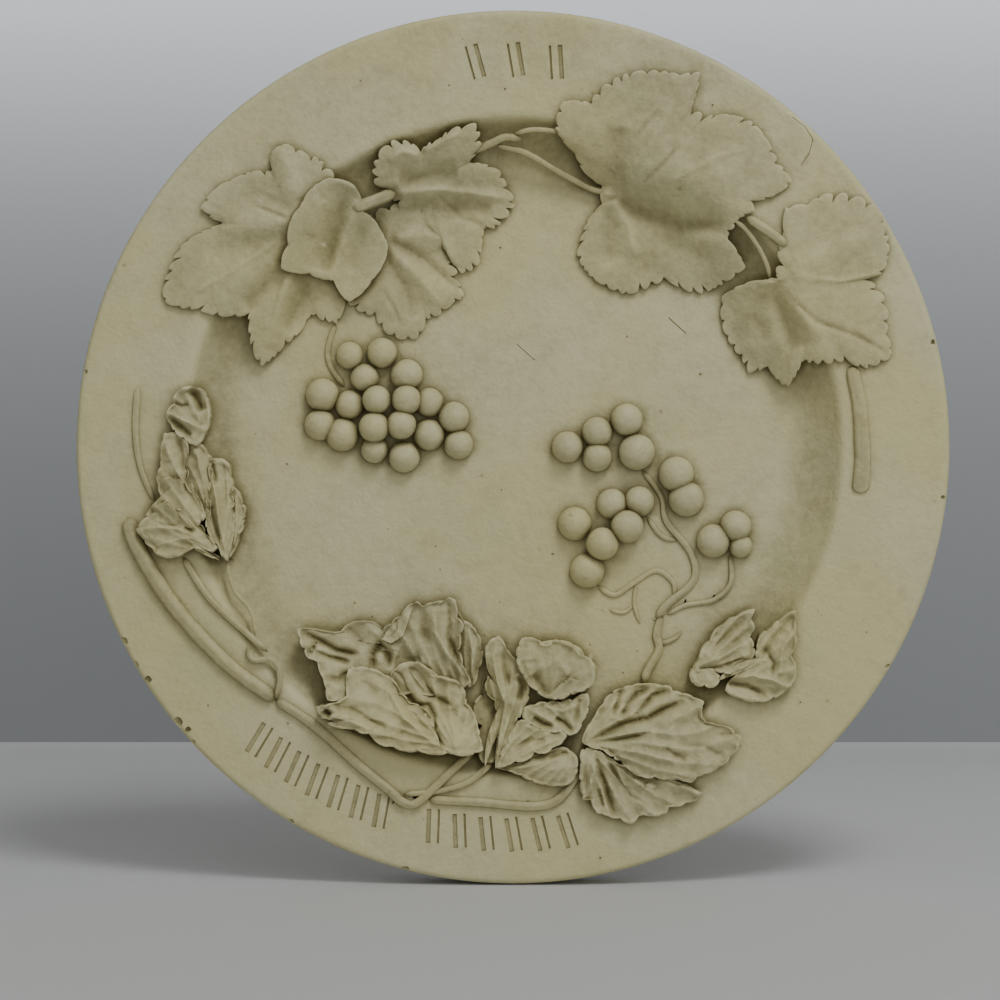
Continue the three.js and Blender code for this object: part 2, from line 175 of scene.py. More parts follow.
def plate():
    section = [(0, 0), (BACK_RADIUS - 3, 0), (BACK_RADIUS, 0.4), (PLATE_RADIUS - 2.2, 3.5)]
    section += [(PLATE_RADIUS, 8), (PLATE_RADIUS, 14), (PLATE_RADIUS, RIM_HEIGHT - 2.6)]
    for i in range(1, EDGE_STEPS + 1):
        a = i / EDGE_STEPS * math.pi / 2
        section.append((PLATE_RADIUS - EDGE_ROUNDING * (1 - math.cos(a)),
                        RIM_HEIGHT - EDGE_ROUNDING * (1 - math.sin(a))))
    section += [(r, RIM_HEIGHT) for r in range(171, LIP_RADIUS + 2, -4)]
    lip = [(LIP_RADIUS + 1.2, -0.15), (LIP_RADIUS, -0.7), (LIP_RADIUS - 1, -1.6)]
    section += [(r, RIM_HEIGHT + h) for r, h in lip]
    width = COVE_RADIUS - FLOOR_RADIUS
    rise = RIM_HEIGHT - 3.2 - FLOOR_HEIGHT
    for i in range(COVE_STEPS, -1, -1):
        out = i / COVE_STEPS
        section.append((FLOOR_RADIUS + width * out, FLOOR_HEIGHT + rise * out**COVE_CURVE))
    section += [(r, FLOOR_HEIGHT) for r in range(FLOOR_RADIUS - 3, 0, -4)] + [(0, FLOOR_HEIGHT)]
    mesh = bpy.data.meshes.new("plate")
    points = [(r * MM, -h * MM, 0) for r, h in section]
    mesh.from_pydata(points, [(i, i + 1) for i in range(len(points) - 1)], [])
    turned = added("plate", mesh)
    pick(turned)
    bpy.ops.object.mode_set(mode="EDIT")
    bpy.ops.mesh.select_all(action="SELECT")
    bpy.ops.mesh.spin(steps=TURN_STEPS, angle=TAU, center=(0, 0, 0), axis=(0, 1, 0))
    bpy.ops.mesh.select_all(action="SELECT")
    bpy.ops.mesh.remove_doubles(threshold=0.02 * MM)
    bpy.ops.mesh.normals_make_consistent(inside=False)
    bpy.ops.object.mode_set(mode="OBJECT")
    return turned


whole = plate()
print("plate:", len(whole.data.polygons), "faces")

# %% [markdown]
# ## Leaves
# A leaf is thin at its edge but cast onto the plate, so it is modelled as a cap: a front with
# an outline and folds, and a side that runs down into the plate, undercut a little so that
# its edge throws a shadow. The outline is given by the tips of the lobes and the bottoms of
# the notches, and uneven teeth are cut along it. Folds are added to the height one by one.

# %% Leaf outlines
def lobed_reach(outline, bearings):
    """The reach of a lobed outline, in millimetres, at bearings in degrees from its middle."""
    reach = np.zeros(len(bearings))
    for (start, near), (end, far) in zip(outline, outline[1:] + outline[:1]):
        span = (end - start) % 360
        along = ((bearings - start) % 360) / span
        inside = along <= 1
        t = along[inside]
        bulge = t**1.2 if far < near else 1 - (1 - t) ** 1.2
        reach[inside] = near + (far - near) * bulge
    return reach


def edge_of(outline, spokes, tooth_pitch, tooth_depth, chance):
    """Bearings in radians, reaches and teeth at points spaced evenly along an outline."""
    fine = np.linspace(0, 360, 1441)
    reach = lobed_reach(outline, fine)
    x, z = reach * np.cos(np.radians(fine)), reach * np.sin(np.radians(fine))
    length = np.concatenate([[0], np.cumsum(np.hypot(np.diff(x), np.diff(z)))])
    at = np.arange(spokes) / spokes * length[-1]
    # the teeth are uneven in width and depth, and a narrow notch lies between two of them
    widths = chance.uniform(0.45, 1.7, max(1, round(length[-1] / tooth_pitch)))
    ends = np.concatenate([[0], np.cumsum(widths)]) / np.sum(widths) * length[-1]
    tooth = np.searchsorted(ends, at, side="right") - 1
    along = (at - ends[tooth]) / (ends[tooth + 1] - ends[tooth])
    depths = chance.uniform(0.1, 1.6, len(widths)) * np.minimum(widths, 1.2)
    notch = (1 - np.sin(math.pi * along) ** 0.45) * depths[tooth]
    bearing = np.interp(at, length, fine)
    return np.radians(bearing), np.interp(at, length, reach), tooth_depth * (0.25 - notch)


# %% Leaf forms
def around(middle, corners):
    """The corners of an outline as bearings in degrees and reaches from its middle."""
    away = [(x - middle[0], z - middle[1]) for x, z in corners]
    return sorted((math.degrees(math.atan2(z, x)) % 360, math.hypot(x, z)) for x, z in away)


def crease_rise(creases, x, z, crisp):
    """What the folds add to the height. Each is (points, width, rise), and a fourth value of
    1 or -1 raises only the left or the right side, like one sheet lying over another."""
    total = np.zeros(len(x))
    for points, width, rise, *side in creases:
        away = np.full(len(x), 1e9)
        left = np.zeros(len(x))
        along = np.zeros(len(x))
        run = 0
        for (x0, z0), (x1, z1) in zip(points, points[1:]):
            length = math.hypot(x1 - x0, z1 - z0)
            ux, uz = (x1 - x0) / length, (z1 - z0) / length
            t = np.clip((x - x0) * ux + (z - z0) * uz, 0, length)
            dx, dz = x - x0 - t * ux, z - z0 - t * uz
            near = np.hypot(dx, dz) < away
            away = np.where(near, np.hypot(dx, dz), away)
            left = np.where(near, ux * dz - uz * dx, left)
            along = np.where(near, run + t, along)
            run += length
        fade = 1 - np.abs(2 * along / run - 1) ** 5
        if side:
            fade = fade * (left * side[0] > 0)
        total += rise * fade * np.exp(-((away / width) ** crisp))
    return total


def crumple(x, z, size, seed):
    """Sharp ridges with soft hollows between them, between 0 and 1."""
    first = np.abs(waves(x, z, size, seed))
    second = np.abs(waves(x, z, size * 0.45, seed + 5))
    return 1 - np.clip(1.5 * first + 0.6 * second, 0, 1)


def leaf(name, middle, lift, outline=(), corners=(), gather=None, pleats=(0, 14), creases=(),
         dome=1.0, droop=1.0, tooth_pitch=5, tooth_depth=2.6, spokes=420, rings=44, rough=0.3,
         crumpled=0.0, crisp=1.7, lip=0.0, seed=1):
    """A leaf that lies lift above the plate. Its outline is in (bearing, reach) from the middle,
    or in corners. Pleats of (height, degrees) fan out from gather. It rises by dome in the middle
    and falls by droop at its edge, where a withered leaf curls up by lip."""
    chance = np.random.default_rng(seed)
    ball, ring, segment = blank(name, spokes, rings)
    if corners:
        outline = around(middle, corners)
    bearing, reach, tooth = edge_of(outline, spokes, tooth_pitch, tooth_depth, chance)
    mean = float(np.mean(reach))
    # rings up to front are the leaf itself, and the last four are its side and its root
    front = rings - 4
    inner = np.linspace(0, 1, front - 1)[:-1] ** 0.85
    edge = [1 - 1.0 / mean, 1 - 0.3 / mean, 1, 0.975, 0.95, 0.47, 0]
    share = np.concatenate([inner, edge])
    out = share[ring]
    toothed = smoothstep(out, 1 - 5 / mean, 1) * (ring <= front + 1)
    distance = out * reach[segment] + toothed * tooth[segment]
    x = middle[0] + distance * np.cos(bearing[segment])
    z = middle[1] + distance * np.sin(bearing[segment])
    smooth = np.clip(distance / reach[segment], 0, 1)
    height = drape(x, z) + lift + dome * (1 - smooth**2) - droop * smooth**4
    if gather:
        dx, dz = x - gather[0], z - gather[1]
        turned = np.degrees(np.arctan2(dz, dx)) + 4 * waves(x, z, 40, seed + 2)
        grown = smoothstep(np.hypot(dx, dz), 2, 22)
        height += pleats[0] * grown * (0.5 - np.abs(np.sin(math.pi * turned / pleats[1])))
    height += crease_rise(creases, x, z, crisp)
    height += rough * waves(x, z, 17, seed) + rough * 0.35 * waves(x, z, 6, seed + 1)
    height += crumpled * (crumple(x, z, 26, seed + 3) + 0.4 * crumple(x, z, 9, seed + 7) - 0.6)
    curl = smoothstep(smooth, 1 - 2.2 / mean, 1 - 0.5 / mean)
    height += lip * curl * (1 + waves(x, z, 11, seed + 9))
    # the front is rounded over at the edge
    height -= np.select([ring == front - 1, ring == front, ring == front + 1], [0.05, 0.3, 1.6], 0)
    height = np.maximum(height, ROOT_HEIGHT + 1)
    height = np.where(ring > front + 1, ROOT_HEIGHT, height)
    return put(ball, x, height, z)


# %% [markdown]
# ## The six fresh leaves
# A vine leaf has lobes round a deep notch at its stalk. Each crease is a line of points with
# the width of a fold and its rise, which is negative for a vein that lies in a hollow.

# %% Fresh leaves
leaf_a = leaf("leaf_a", (-86, 88), 2.8, seed=11, outline=[
    (30, 20), (62, 26), (84, 29), (100, 33), (110, 31), (116, 24), (142, 31), (160, 37), (169, 39),
    (178, 30), (190, 47), (209, 61), (220, 51), (240, 40), (254, 57), (263, 46), (277, 34), (291, 40),
    (302, 34), (330, 22),
], creases=[
    ([(-88, 90), (-100, 88), (-118, 87)], 4, 1.5), ([(-88, 85), (-102, 80), (-122, 75)], 7, -2.2),
    ([(-88, 78), (-98, 66), (-108, 55)], 3.5, -2.6), ([(-87, 76), (-93, 58), (-99, 40)], 3.5, 1.9),
    ([(-84, 74), (-85, 60), (-91, 46)], 4.5, -2.2), ([(-88, 94), (-100, 101), (-117, 99)], 4.5, -1.4),
    ([(-90, 91), (-97, 94), (-103, 96)], 0.9, -0.7), ([(-86, 98), (-89, 110), (-95, 120)], 4, 1.1),
    ([(-92, 84), (-112, 70), (-130, 60)], 1.1, 0.6), ([(-92, 70), (-95, 60), (-98, 50)], 0.9, -0.5),
])
leaf_c = leaf("leaf_c", (-35, 105), 3, seed=12, spokes=340, outline=[
    (0, 32), (11, 30), (28, 19), (36, 27), (50, 31), (60, 26), (74, 18), (98, 13), (112, 18), (132, 22),
    (150, 22), (172, 21), (200, 14), (261, 13), (285, 24), (292, 37), (302, 38), (313, 32), (324, 28),
    (330, 32), (350, 36),
], creases=[
    ([(-47, 102), (-30, 103.5), (-16, 102), (0, 100)], 2.2, 1.7),
    ([(-46, 106), (-36, 109), (-22, 111)], 4.5, -2.4), ([(-44, 98), (-26, 95), (-8, 96)], 4, -1.8),
    ([(-50, 114), (-44, 118), (-37, 116)], 1.6, 1.1), ([(-36, 118), (-28, 122), (-20, 126)], 1.8, 1.2),
    ([(-34, 92), (-28, 82), (-24, 72)], 2.5, 1.0), ([(-30, 101), (-20, 92), (-12, 90)], 0.9, -0.5),
])
leaf_d = leaf("leaf_d", (-43, 74), 2.4, seed=13, spokes=320, outline=[
    (5, 18), (24, 17), (34, 24), (58, 24), (100, 24), (128, 24), (150, 21), (190, 21), (215, 28),
    (228, 26), (239, 24), (250, 28), (264, 30), (278, 30), (290, 23), (304, 24), (319, 24), (330, 26),
    (343, 21), (353, 20),
], creases=[
    ([(-51, 84), (-38, 77), (-22, 63)], 2.8, -2.2), ([(-50, 80), (-36, 66), (-28, 56)], 3, 1.3),
    ([(-53, 79), (-45, 66), (-40, 52)], 3.5, -1.5), ([(-48, 84), (-36, 86), (-26, 83)], 3, 1.2),
    ([(-53, 64), (-48, 56), (-45, 47)], 1, -0.5),
])
leaf_e = leaf("leaf_e", (51, 105), 2.8, seed=14, spokes=460, outline=[
    (1, 60), (9, 55), (28, 51), (36, 46), (46, 37), (56, 36), (62, 50), (70, 46), (88, 45), (104, 43),
    (122, 38), (134, 45), (147, 40), (155, 28), (178, 15), (204, 16), (218, 28), (228, 37), (244, 41),
    (263, 43), (276, 40), (286, 38), (300, 49), (322, 53), (329, 40), (341, 41), (347, 46), (351, 45),
    (355, 53),
], creases=[
    ([(38, 102), (49, 95.5), (67, 89), (87, 89)], 4.5, -3.8),
    ([(38, 102), (40, 114), (43, 128)], 6, -2.2), ([(40, 100), (46, 90), (49, 76)], 3, 1.7),
    ([(38, 98), (37, 86), (39, 74)], 4, -1.2), ([(56, 88), (70, 80), (84, 73)], 4.5, -1.3),
    ([(44, 104), (66, 108), (92, 112)], 9, 1.6), ([(67, 121), (60, 113), (51, 104)], 0.9, -0.7),
    ([(59, 135), (53, 129), (48, 122)], 0.9, -0.6), ([(69, 111), (67, 106), (66, 101)], 0.9, -0.6),
    ([(44, 108), (56, 122), (64, 138)], 1.2, 0.5), ([(60, 104), (82, 116), (98, 120)], 1.2, 0.5),
])
leaf_f = leaf("leaf_f", (117, 63), 2.8, seed=15, spokes=400, outline=[
    (9, 25), (12, 31), (28, 37), (48, 43), (62, 42), (80, 38), (88, 34), (104, 33), (113, 23),
    (134, 15), (152, 13), (165, 15), (174, 24), (184, 32), (206, 35), (228, 36), (237, 39), (245, 33),
    (260, 39), (268, 28), (284, 30), (299, 32), (307, 39), (322, 43), (332, 36), (347, 33),
], creases=[
    ([(104, 66), (108, 53), (114, 38)], 4.5, -3.4), ([(106, 64), (114, 54), (121, 43)], 3.5, 1.5),
    ([(108, 62), (121, 50), (138, 44), (150, 37)], 1.1, -0.9),
    ([(105, 70), (113, 84), (122, 99)], 6, -1.5), ([(104, 68), (96, 66.5), (87, 62)], 2.5, 1.2),
    ([(101, 62), (98, 52), (103, 42)], 4, -1.4), ([(110, 70), (126, 78), (142, 86)], 5, 1.3),
    ([(112, 68), (130, 66), (150, 70)], 1.1, 0.6),
])
leaf_b = leaf("leaf_b", (-71, 84), 6.4, seed=16, spokes=220, dome=-0.5, droop=0, tooth_depth=0.3,
              outline=[
    (10, 18), (44, 15), (72, 22), (95, 23), (138, 18), (190, 19), (210, 25), (232, 18), (266, 17),
    (281, 26), (310, 22), (349, 21),
], creases=[
    ([(-66, 104), (-72, 87), (-77, 70)], 4.5, -3.4), ([(-62, 99), (-68, 84), (-74, 66)], 2.6, 1.7),
    ([(-75, 99), (-81, 84)], 4, 1.0), ([(-60, 92), (-62, 80), (-66, 70)], 3.5, -1.0),
])
forms = [leaf_a, leaf_c, leaf_d, leaf_e, leaf_f, leaf_b]

# %% [markdown]
# ## Grapes
# A grape is a ball pressed a little flat. Those at the back are sunk in the floor by more than
# a third of their height, and the ones in front lie between them.

# %% Grapes
GRAPE_SIDES = 36
GRAPE_RINGS = 18
LEFT_BACK = [(-66, 37, 5.6), (-53, 38, 6.2), (-60, 28, 5.8), (-43, 29, 6.6), (-77, 21, 6.8), (-34, 18, 6),
             (-24, 12, 6.4), (-78, 9, 6.4), (-69, 5, 6.8), (-34, 5, 6.4), (-22, 1, 6), (-56, -1, 5.6),
             (-44, -4, 6.4), (-66, 17, 6)]
LEFT_FRONT = [(-55, 19, 5.8), (-43, 19, 6), (-56, 8, 6.2), (-45, 9, 6)]
RIGHT_BACK = [(22, 0, 6.4), (34, 6, 6.2), (34, -4, 6), (46, 11, 6.6), (50, -2, 7.4), (66, -11, 7.2),
              (70, -21, 7.2), (40, -23, 6.2), (51, -22, 6.2), (25, -31, 6.8), (30, -50, 7),
              (81, -38, 6.8), (90, -32, 6.4), (92, -40, 4.8)]
RIGHT_FRONT = [(46, -32, 6.6), (36, -39, 6.6)]


def grape(x0, z0, radius, rise):
    ball, ring, segment = blank("grape", GRAPE_SIDES, GRAPE_RINGS)
    bearing = segment / GRAPE_SIDES * TAU
    polar = ring / GRAPE_RINGS * math.pi
    x = x0 + radius * np.sin(polar) * np.cos(bearing)
    z = z0 + radius * np.sin(polar) * np.sin(bearing)
    return put(ball, x, FLOOR_HEIGHT + rise + 0.95 * radius * np.cos(polar), z)


for bunch, rise in ((LEFT_BACK + RIGHT_BACK, 1.4), (LEFT_FRONT + RIGHT_FRONT, 4.8)):
    forms += [grape(x, z, radius, rise) for x, z, radius in bunch]

# %% [markdown]
# ## Stems and canes
# A stem is a ball drawn out along a smooth line, with a radius at each end. Where the stems
# are is kept, because they stay as they are when the casting is thinned later.

# %% Stems
RING_STEP = 1.6


def smooth_line(points, count):
    """Points evenly spaced along a Catmull-Rom line through the given ones, and its length."""
    p = np.array(points, float)
    p = np.vstack([2 * p[0] - p[1], p, 2 * p[-1] - p[-2]])
    t = np.linspace(0, 1, 24, endpoint=False)[:, None]
    runs = []
    for a, b, c, d in zip(p, p[1:], p[2:], p[3:]):
        runs.append(0.5 * (2 * b + (c - a) * t + (2 * a - 5 * b + 4 * c - d) * t**2
                           + (3 * b - a - 3 * c + d) * t**3))
    line = np.vstack(runs + [p[-2:-1]])
    length = np.concatenate([[0], np.cumsum(np.linalg.norm(np.diff(line, axis=0), axis=1))])
    at = np.linspace(0, length[-1], count)
    return np.column_stack([np.interp(at, length, line[:, i]) for i in range(2)]), length[-1]


def stem(points, start, end=None, rise=0.0, sides=16):
    """A stem with the radius start at its first point and end at its last."""
    end = start if end is None else end
    length = smooth_line(points, 2)[1]
    rings = int(np.clip(length / RING_STEP, 8, 90))
    line = smooth_line(points, rings + 1)[0]
    ball, ring, segment = blank("stem", sides, rings)
    share = np.linspace(0, 1, rings + 1)
    radius = start + (end - start) * share
    radius[[0, -1]] = 0
    radius[[1, -2]] *= 0.75
    along = np.gradient(line, axis=0)
    along /= np.linalg.norm(along, axis=1)[:, None]
    side = np.column_stack([-along[:, 1], along[:, 0]])
    angle = segment / sides * TAU
    # narrow grooves run along it, and it swells a little here and there
    swell = 0.06 * waves(line[ring, 0], line[ring, 1], 16, 8)
    reach = radius[ring] * (0.94 + 0.12 * np.abs(np.sin(3 * angle + 0.5)) + swell)
    x = line[ring, 0] + side[ring, 0] * reach * np.cos(angle)
    z = line[ring, 1] + side[ring, 1] * reach * np.cos(angle)
    height = drape(line[ring, 0], line[ring, 1]) + rise + reach * np.sin(angle)
    return put(ball, x, height, z)


def place_of(vertex):
    """Where a vertex is, rounded so that it can be looked up."""
    return tuple(round(c, 6) for c in vertex.co)


def places(bodies):
    return {place_of(v) for body in bodies for v in body.data.vertices}


stems = [
    # the branch across the top, its twig and the two leaf stalks
    stem([(-18, 118), (-8, 122), (-3, 124), (4, 123)], 1.6),
    stem([(0, 125), (8, 127), (20, 126)], 1.0),
    stem([(-7, 121), (5, 118), (18, 111), (32, 104), (38, 103)], 1.2, rise=0.5),
    stem([(-65, 95), (-56, 98.5), (-47, 102)], 2.4, rise=5),
    stem([(93, 92), (102, 86), (110, 80)], 2.0, rise=1),
    stem([(88, 91), (93, 87), (98, 80), (101.5, 73), (103, 67)], 0.9, rise=1),
    # the thick stem at the right, cut off below
    stem([(135.4, 33), (136.4, 27), (138.5, 16), (139.6, 0), (139.6, -8), (138.6, -19)],
         2.7, 3.7, rise=-0.6, sides=30),
    # the stalk of the left bunch
    stem([(-72, 50), (-74.5, 42), (-75, 37), (-73.5, 32), (-68, 24)], 1.2),
    # the branching stalk of the right bunch
    stem([(52, -9), (60, -20), (62, -30), (72, -43), (73, -54), (62, -64), (58, -70)],
         1.1, 1.8),
    stem([(54, -28), (60, -36), (67, -38)], 1.0),
    stem([(34, -56), (41, -60), (49, -55), (58, -50), (65, -55), (65, -61)], 1.1),
    stem([(50, -55), (49, -62), (49.5, -66), (51.5, -72)], 0.95, 0.7),
    stem([(49, -64), (45, -67), (41, -66.5), (38.5, -65.5)], 0.85),
    stem([(88, -43), (88, -55), (81, -62), (70, -64), (62, -68)], 1.0, 1.2),
    stem([(60, -68), (58, -76), (59, -82), (54, -91), (53, -96)], 1.7),
    stem([(58.5, -79.5), (62, -79), (65.5, -77.5), (68.5, -74.5)], 1.1, 0.7),
    # the thin twig, the cane and the stalks along the lower left
    stem([(-150, 24), (-151, 8), (-149.5, -6), (-146, -16), (-143, -22)], 1.5, 1.1),
    stem([(-154, -28), (-150, -40), (-136, -63), (-115, -86), (-95, -101)], 3.2, 2.8, rise=0.3, sides=30),
    stem([(-132, -44), (-121, -61), (-107, -74), (-98, -82)], 1.3, rise=0.5),
    stem([(-106, -79), (-104, -85), (-96, -85), (-93, -92), (-95, -101)], 1.2, rise=1.5),
    stem([(-115, -45), (-112, -57), (-105, -66), (-103, -76)], 0.8),
    stem([(-95, -101), (-80, -111), (-62, -127), (-51, -136), (-44, -142)], 1.9, rise=0.3),
    stem([(-51, -136), (-44, -142), (-38, -142), (-25, -130), (-15, -121)], 1.9, 1.4, rise=0.7),
    stem([(-44, -139), (-30, -137.5), (-18, -134), (-8, -126)], 1.1, 1.3, rise=0.5),
    stem([(-34, -141), (-15, -142), (14, -143), (27, -130)], 1.8),
]
stem_places = places(stems)
forms += stems

# %% [markdown]
# ## Withered leaves
# A withered leaf is crumpled, so it is built from a few sheets that overlap. Each sheet has
# corners in place of a toothed outline, and sharp creases: a negative rise is a fold that
# goes in, a positive one a ridge.

# %% Sheets of withered leaves
FIRST_SEED = 40
WITHERED = dict(spokes=220, rings=36, tooth_pitch=6, tooth_depth=0.8, rough=0.25, crumpled=0.7,
                crisp=1.3, droop=0.3, dome=0.4, lip=0.8)
sheets = []


def sheet(middle, lift, corners, creases=(), **own):
    """Adds the next sheet, with what is its own in place of what is usual."""
    number = len(sheets)
    settings = {**WITHERED, **own, "corners": corners, "creases": creases}
    sheets.append(leaf(f"withered_{number}", middle, lift, seed=FIRST_SEED + number, **settings))


# %% The withered leaf at the left
sheet((-130, 13.5), 5.5, [
    (-138, 12.5), (-135, 17), (-133.5, 22), (-129, 24), (-124, 23), (-121.5, 17), (-121, 11),
    (-122.5, 6), (-126, 0.5), (-131, 3.5), (-136, 9),
], [
    ([(-129, 23), (-126, 19), (-124, 14)], 2.2, -5),
    ([(-138, 14), (-131, 10.5), (-125, 8), (-122, 6)], 1.4, 2),
    ([(-137, 12), (-131, 7.5), (-128, 4)], 1.2, -2.5),
    ([(-130, 22), (-127, 16.5), (-124, 9)], 1.3, 2.2),
    ([(-136, 18), (-132, 16.5), (-129, 17)], 0.9, -1.5),
], gather=(-122, 2), pleats=(0.6, 16))
sheet((-125, -10), 3.5, [
    (-130, 3), (-125.5, 2), (-122.5, -2), (-121, -8), (-120.5, -13), (-121, -18), (-120.5, -24),
    (-121, -30), (-126, -20), (-131, -14), (-130, -5),
], [
    ([(-126, 1), (-125, -8), (-123, -16), (-121, -25)], 1.4, 1.8),
], gather=(-115, -44), pleats=(0.6, 7))
sheet((-134, -14), 5.5, [
    (-138.5, 5.5), (-133, 5.5), (-130, 3), (-129, -1), (-130, -7), (-130, -13), (-127, -18),
    (-123.5, -24), (-122.5, -28), (-126, -32), (-136, -32), (-143, -29), (-146, -27), (-143, -22.5),
    (-140, -19.5), (-141, -15), (-142, -12), (-140, -8), (-140, -2), (-139.5, 3),
], [
    ([(-141, -13), (-137, -11.5), (-132, -13), (-130, -18)], 4, 2.2, -1),
    ([(-144, -24), (-138, -21.5), (-134, -25), (-132, -30)], 4, 2, -1),
    ([(-133, 4), (-132, -4), (-131, -10)], 1.6, -2),
    ([(-131, -14), (-128, -20), (-124, -27)], 1.2, -2.5), ([(-137, 3), (-136.5, -6)], 2, 1),
], gather=(-116, -44), pleats=(0.7, 9), dome=0.8, droop=0.6)
sheet((-111, -29), 3, [
    (-114, -15), (-111, -17), (-109, -22), (-108, -27), (-108.5, -31), (-110, -35), (-111, -40),
    (-113, -44), (-114, -34), (-114, -25),
], [
    ([(-111.5, -19), (-110.5, -28), (-112, -40)], 1.2, 1.5),
], gather=(-114, -48), pleats=(0.6, 7))
sheet((-117, -22), 4.5, [
    (-121, -5), (-117, -4.5), (-114, -6.5), (-113.5, -12), (-113, -19), (-112.5, -25), (-111.5, -30),
    (-112, -36), (-113, -42), (-114, -45.5), (-116, -44), (-117.5, -40), (-121, -35.5), (-122.5, -30),
    (-120.5, -25), (-122.5, -20), (-121, -14),
], [
    ([(-120, -14), (-118.5, -20), (-117.5, -28), (-115.5, -38), (-114, -45)], 1.3, 1.8),
    ([(-121, -5), (-119.5, -11), (-119, -15)], 1.2, -3),
    ([(-116, -6), (-115, -16), (-114.5, -26)], 1.3, -1.6),
    ([(-121.5, -22), (-119.5, -30), (-117, -38)], 1.2, -2),
], gather=(-115, -47), pleats=(0.7, 9), dome=0.8, droop=0.6)
sheet((-133, -34), 5.5, [
    (-150, -32.5), (-148, -30), (-144, -27), (-139, -24), (-133.5, -24.5), (-128.5, -26), (-125.5, -30),
    (-122, -35), (-117.5, -40), (-114.5, -45.5), (-117, -45), (-120, -42), (-123.5, -40), (-127, -40),
    (-130.5, -42), (-135, -44), (-140, -43.5), (-144, -40), (-148, -35.5),
], [
    ([(-149, -33), (-141, -32), (-134, -32.5), (-124, -36)], 1.1, 1.2),
    ([(-143, -39.5), (-134, -37), (-128, -36), (-120, -40)], 1, 0.9),
    ([(-136, -27), (-131, -31), (-127, -34.5)], 1.3, -2.4),
    ([(-129, -26), (-125, -31), (-121, -37)], 1.1, -2.2),
    ([(-135, -43.5), (-127, -40), (-120, -41.5)], 0.9, 1),
    ([(-149, -34), (-146, -37.5), (-141, -41)], 1, -1.2),
], gather=(-115, -44), pleats=(0.6, 11), dome=0.5, droop=0.5)

# %% The withered leaf at the lower left
sheet((-20, -82), 3.5, [
    (-23, -66), (-20, -70), (-15, -74), (-13, -80), (-14, -89), (-17, -97), (-27, -94), (-30, -73),
], [
    ([(-18, -72), (-16.5, -82), (-17, -94)], 1.3, 1.5),
], gather=(-16, -108), pleats=(0.7, 9))
sheet((-46, -82), 7, [
    (-86, -72.5), (-81, -73), (-76, -74), (-72, -74.5), (-69, -74), (-66, -71), (-61, -70), (-57, -70),
    (-54, -72), (-52.5, -73.5), (-49, -71), (-45, -67.5), (-41, -63), (-39, -62), (-36, -64),
    (-33, -62.5), (-28, -62), (-25.5, -60), (-23, -62), (-22.5, -67), (-20, -71), (-21, -77),
    (-21.5, -82), (-20, -88), (-17, -95), (-24, -98), (-39, -98), (-56, -95), (-68, -100.5),
    (-73.5, -101), (-75, -94), (-78, -86), (-82, -84), (-85, -77),
], [
    ([(-85, -74), (-79, -77), (-71, -81.5), (-62, -83.5)], 1.2, -3.4),
    ([(-80, -81.5), (-73, -84.5), (-65, -86.5)], 1.1, -3.2), ([(-79, -78), (-81.5, -83)], 0.8, -3),
    ([(-67, -72), (-64, -75), (-60, -80)], 1.6, -1.2), ([(-75, -92), (-70, -93), (-65, -90)], 1.2, -2),
    ([(-50, -73), (-53, -77), (-49, -79), (-44, -76), (-42, -70), (-40, -64)], 3.5, 1.8, 1),
    ([(-56.5, -90), (-56.5, -83), (-53.5, -79.5), (-50.5, -83), (-49.5, -89)], 1.3, -2.8),
    ([(-47, -84), (-42, -86), (-37, -85)], 3.5, -2.5),
    ([(-36, -63), (-36.5, -72), (-35, -80)], 2.8, -1.6),
    ([(-32, -64), (-31.5, -74), (-28, -81), (-24, -86), (-19, -93)], 1.2, 2.6),
    ([(-26, -62), (-25.5, -70), (-26, -77), (-22, -85)], 1.2, -2),
    ([(-21, -66), (-22, -82), (-18, -93)], 1.1, 1.8),
], gather=(-20, -112), pleats=(0.8, 9), dome=0, droop=0.1)
sheet((-50, -107), 8.5, [
    (-65, -87.5), (-63, -88.5), (-59.5, -88), (-56, -89), (-52, -91), (-47.5, -94), (-45, -98.5),
    (-41, -102.5), (-36, -104), (-32.5, -107.5), (-31.5, -113), (-29, -119), (-26, -121.5),
    (-38, -120.5), (-47.5, -119), (-55, -116.5), (-57, -113.5), (-63, -112), (-70, -108.5),
    (-73.5, -109.5), (-76, -107.5), (-78, -103), (-75, -102.5), (-70, -101.5), (-66, -99),
    (-66.5, -93.5),
], [
    ([(-64, -91), (-58, -95), (-54, -99)], 1.6, -1.4),
    ([(-50, -97), (-43, -108), (-36, -114), (-28, -120)], 1.5, 2.4),
    ([(-47, -97), (-42, -104), (-36, -110), (-31, -117)], 1.6, -1.5),
    ([(-73, -102.5), (-64, -104.5), (-57, -108.5), (-50, -112)], 1.4, -2.2),
    ([(-74, -106), (-64, -109), (-56, -112.5)], 1.6, 1.6),
    ([(-55, -115), (-47, -116), (-42, -112)], 1.6, -1.2),
    ([(-77, -103), (-72, -102.5), (-70, -105.5), (-73, -108.5)], 0.9, 1.2),
    ([(-75, -104.5), (-72.5, -106.5)], 1.0, -4),
], gather=(-20, -120), pleats=(0.8, 9), dome=1, droop=0.9)
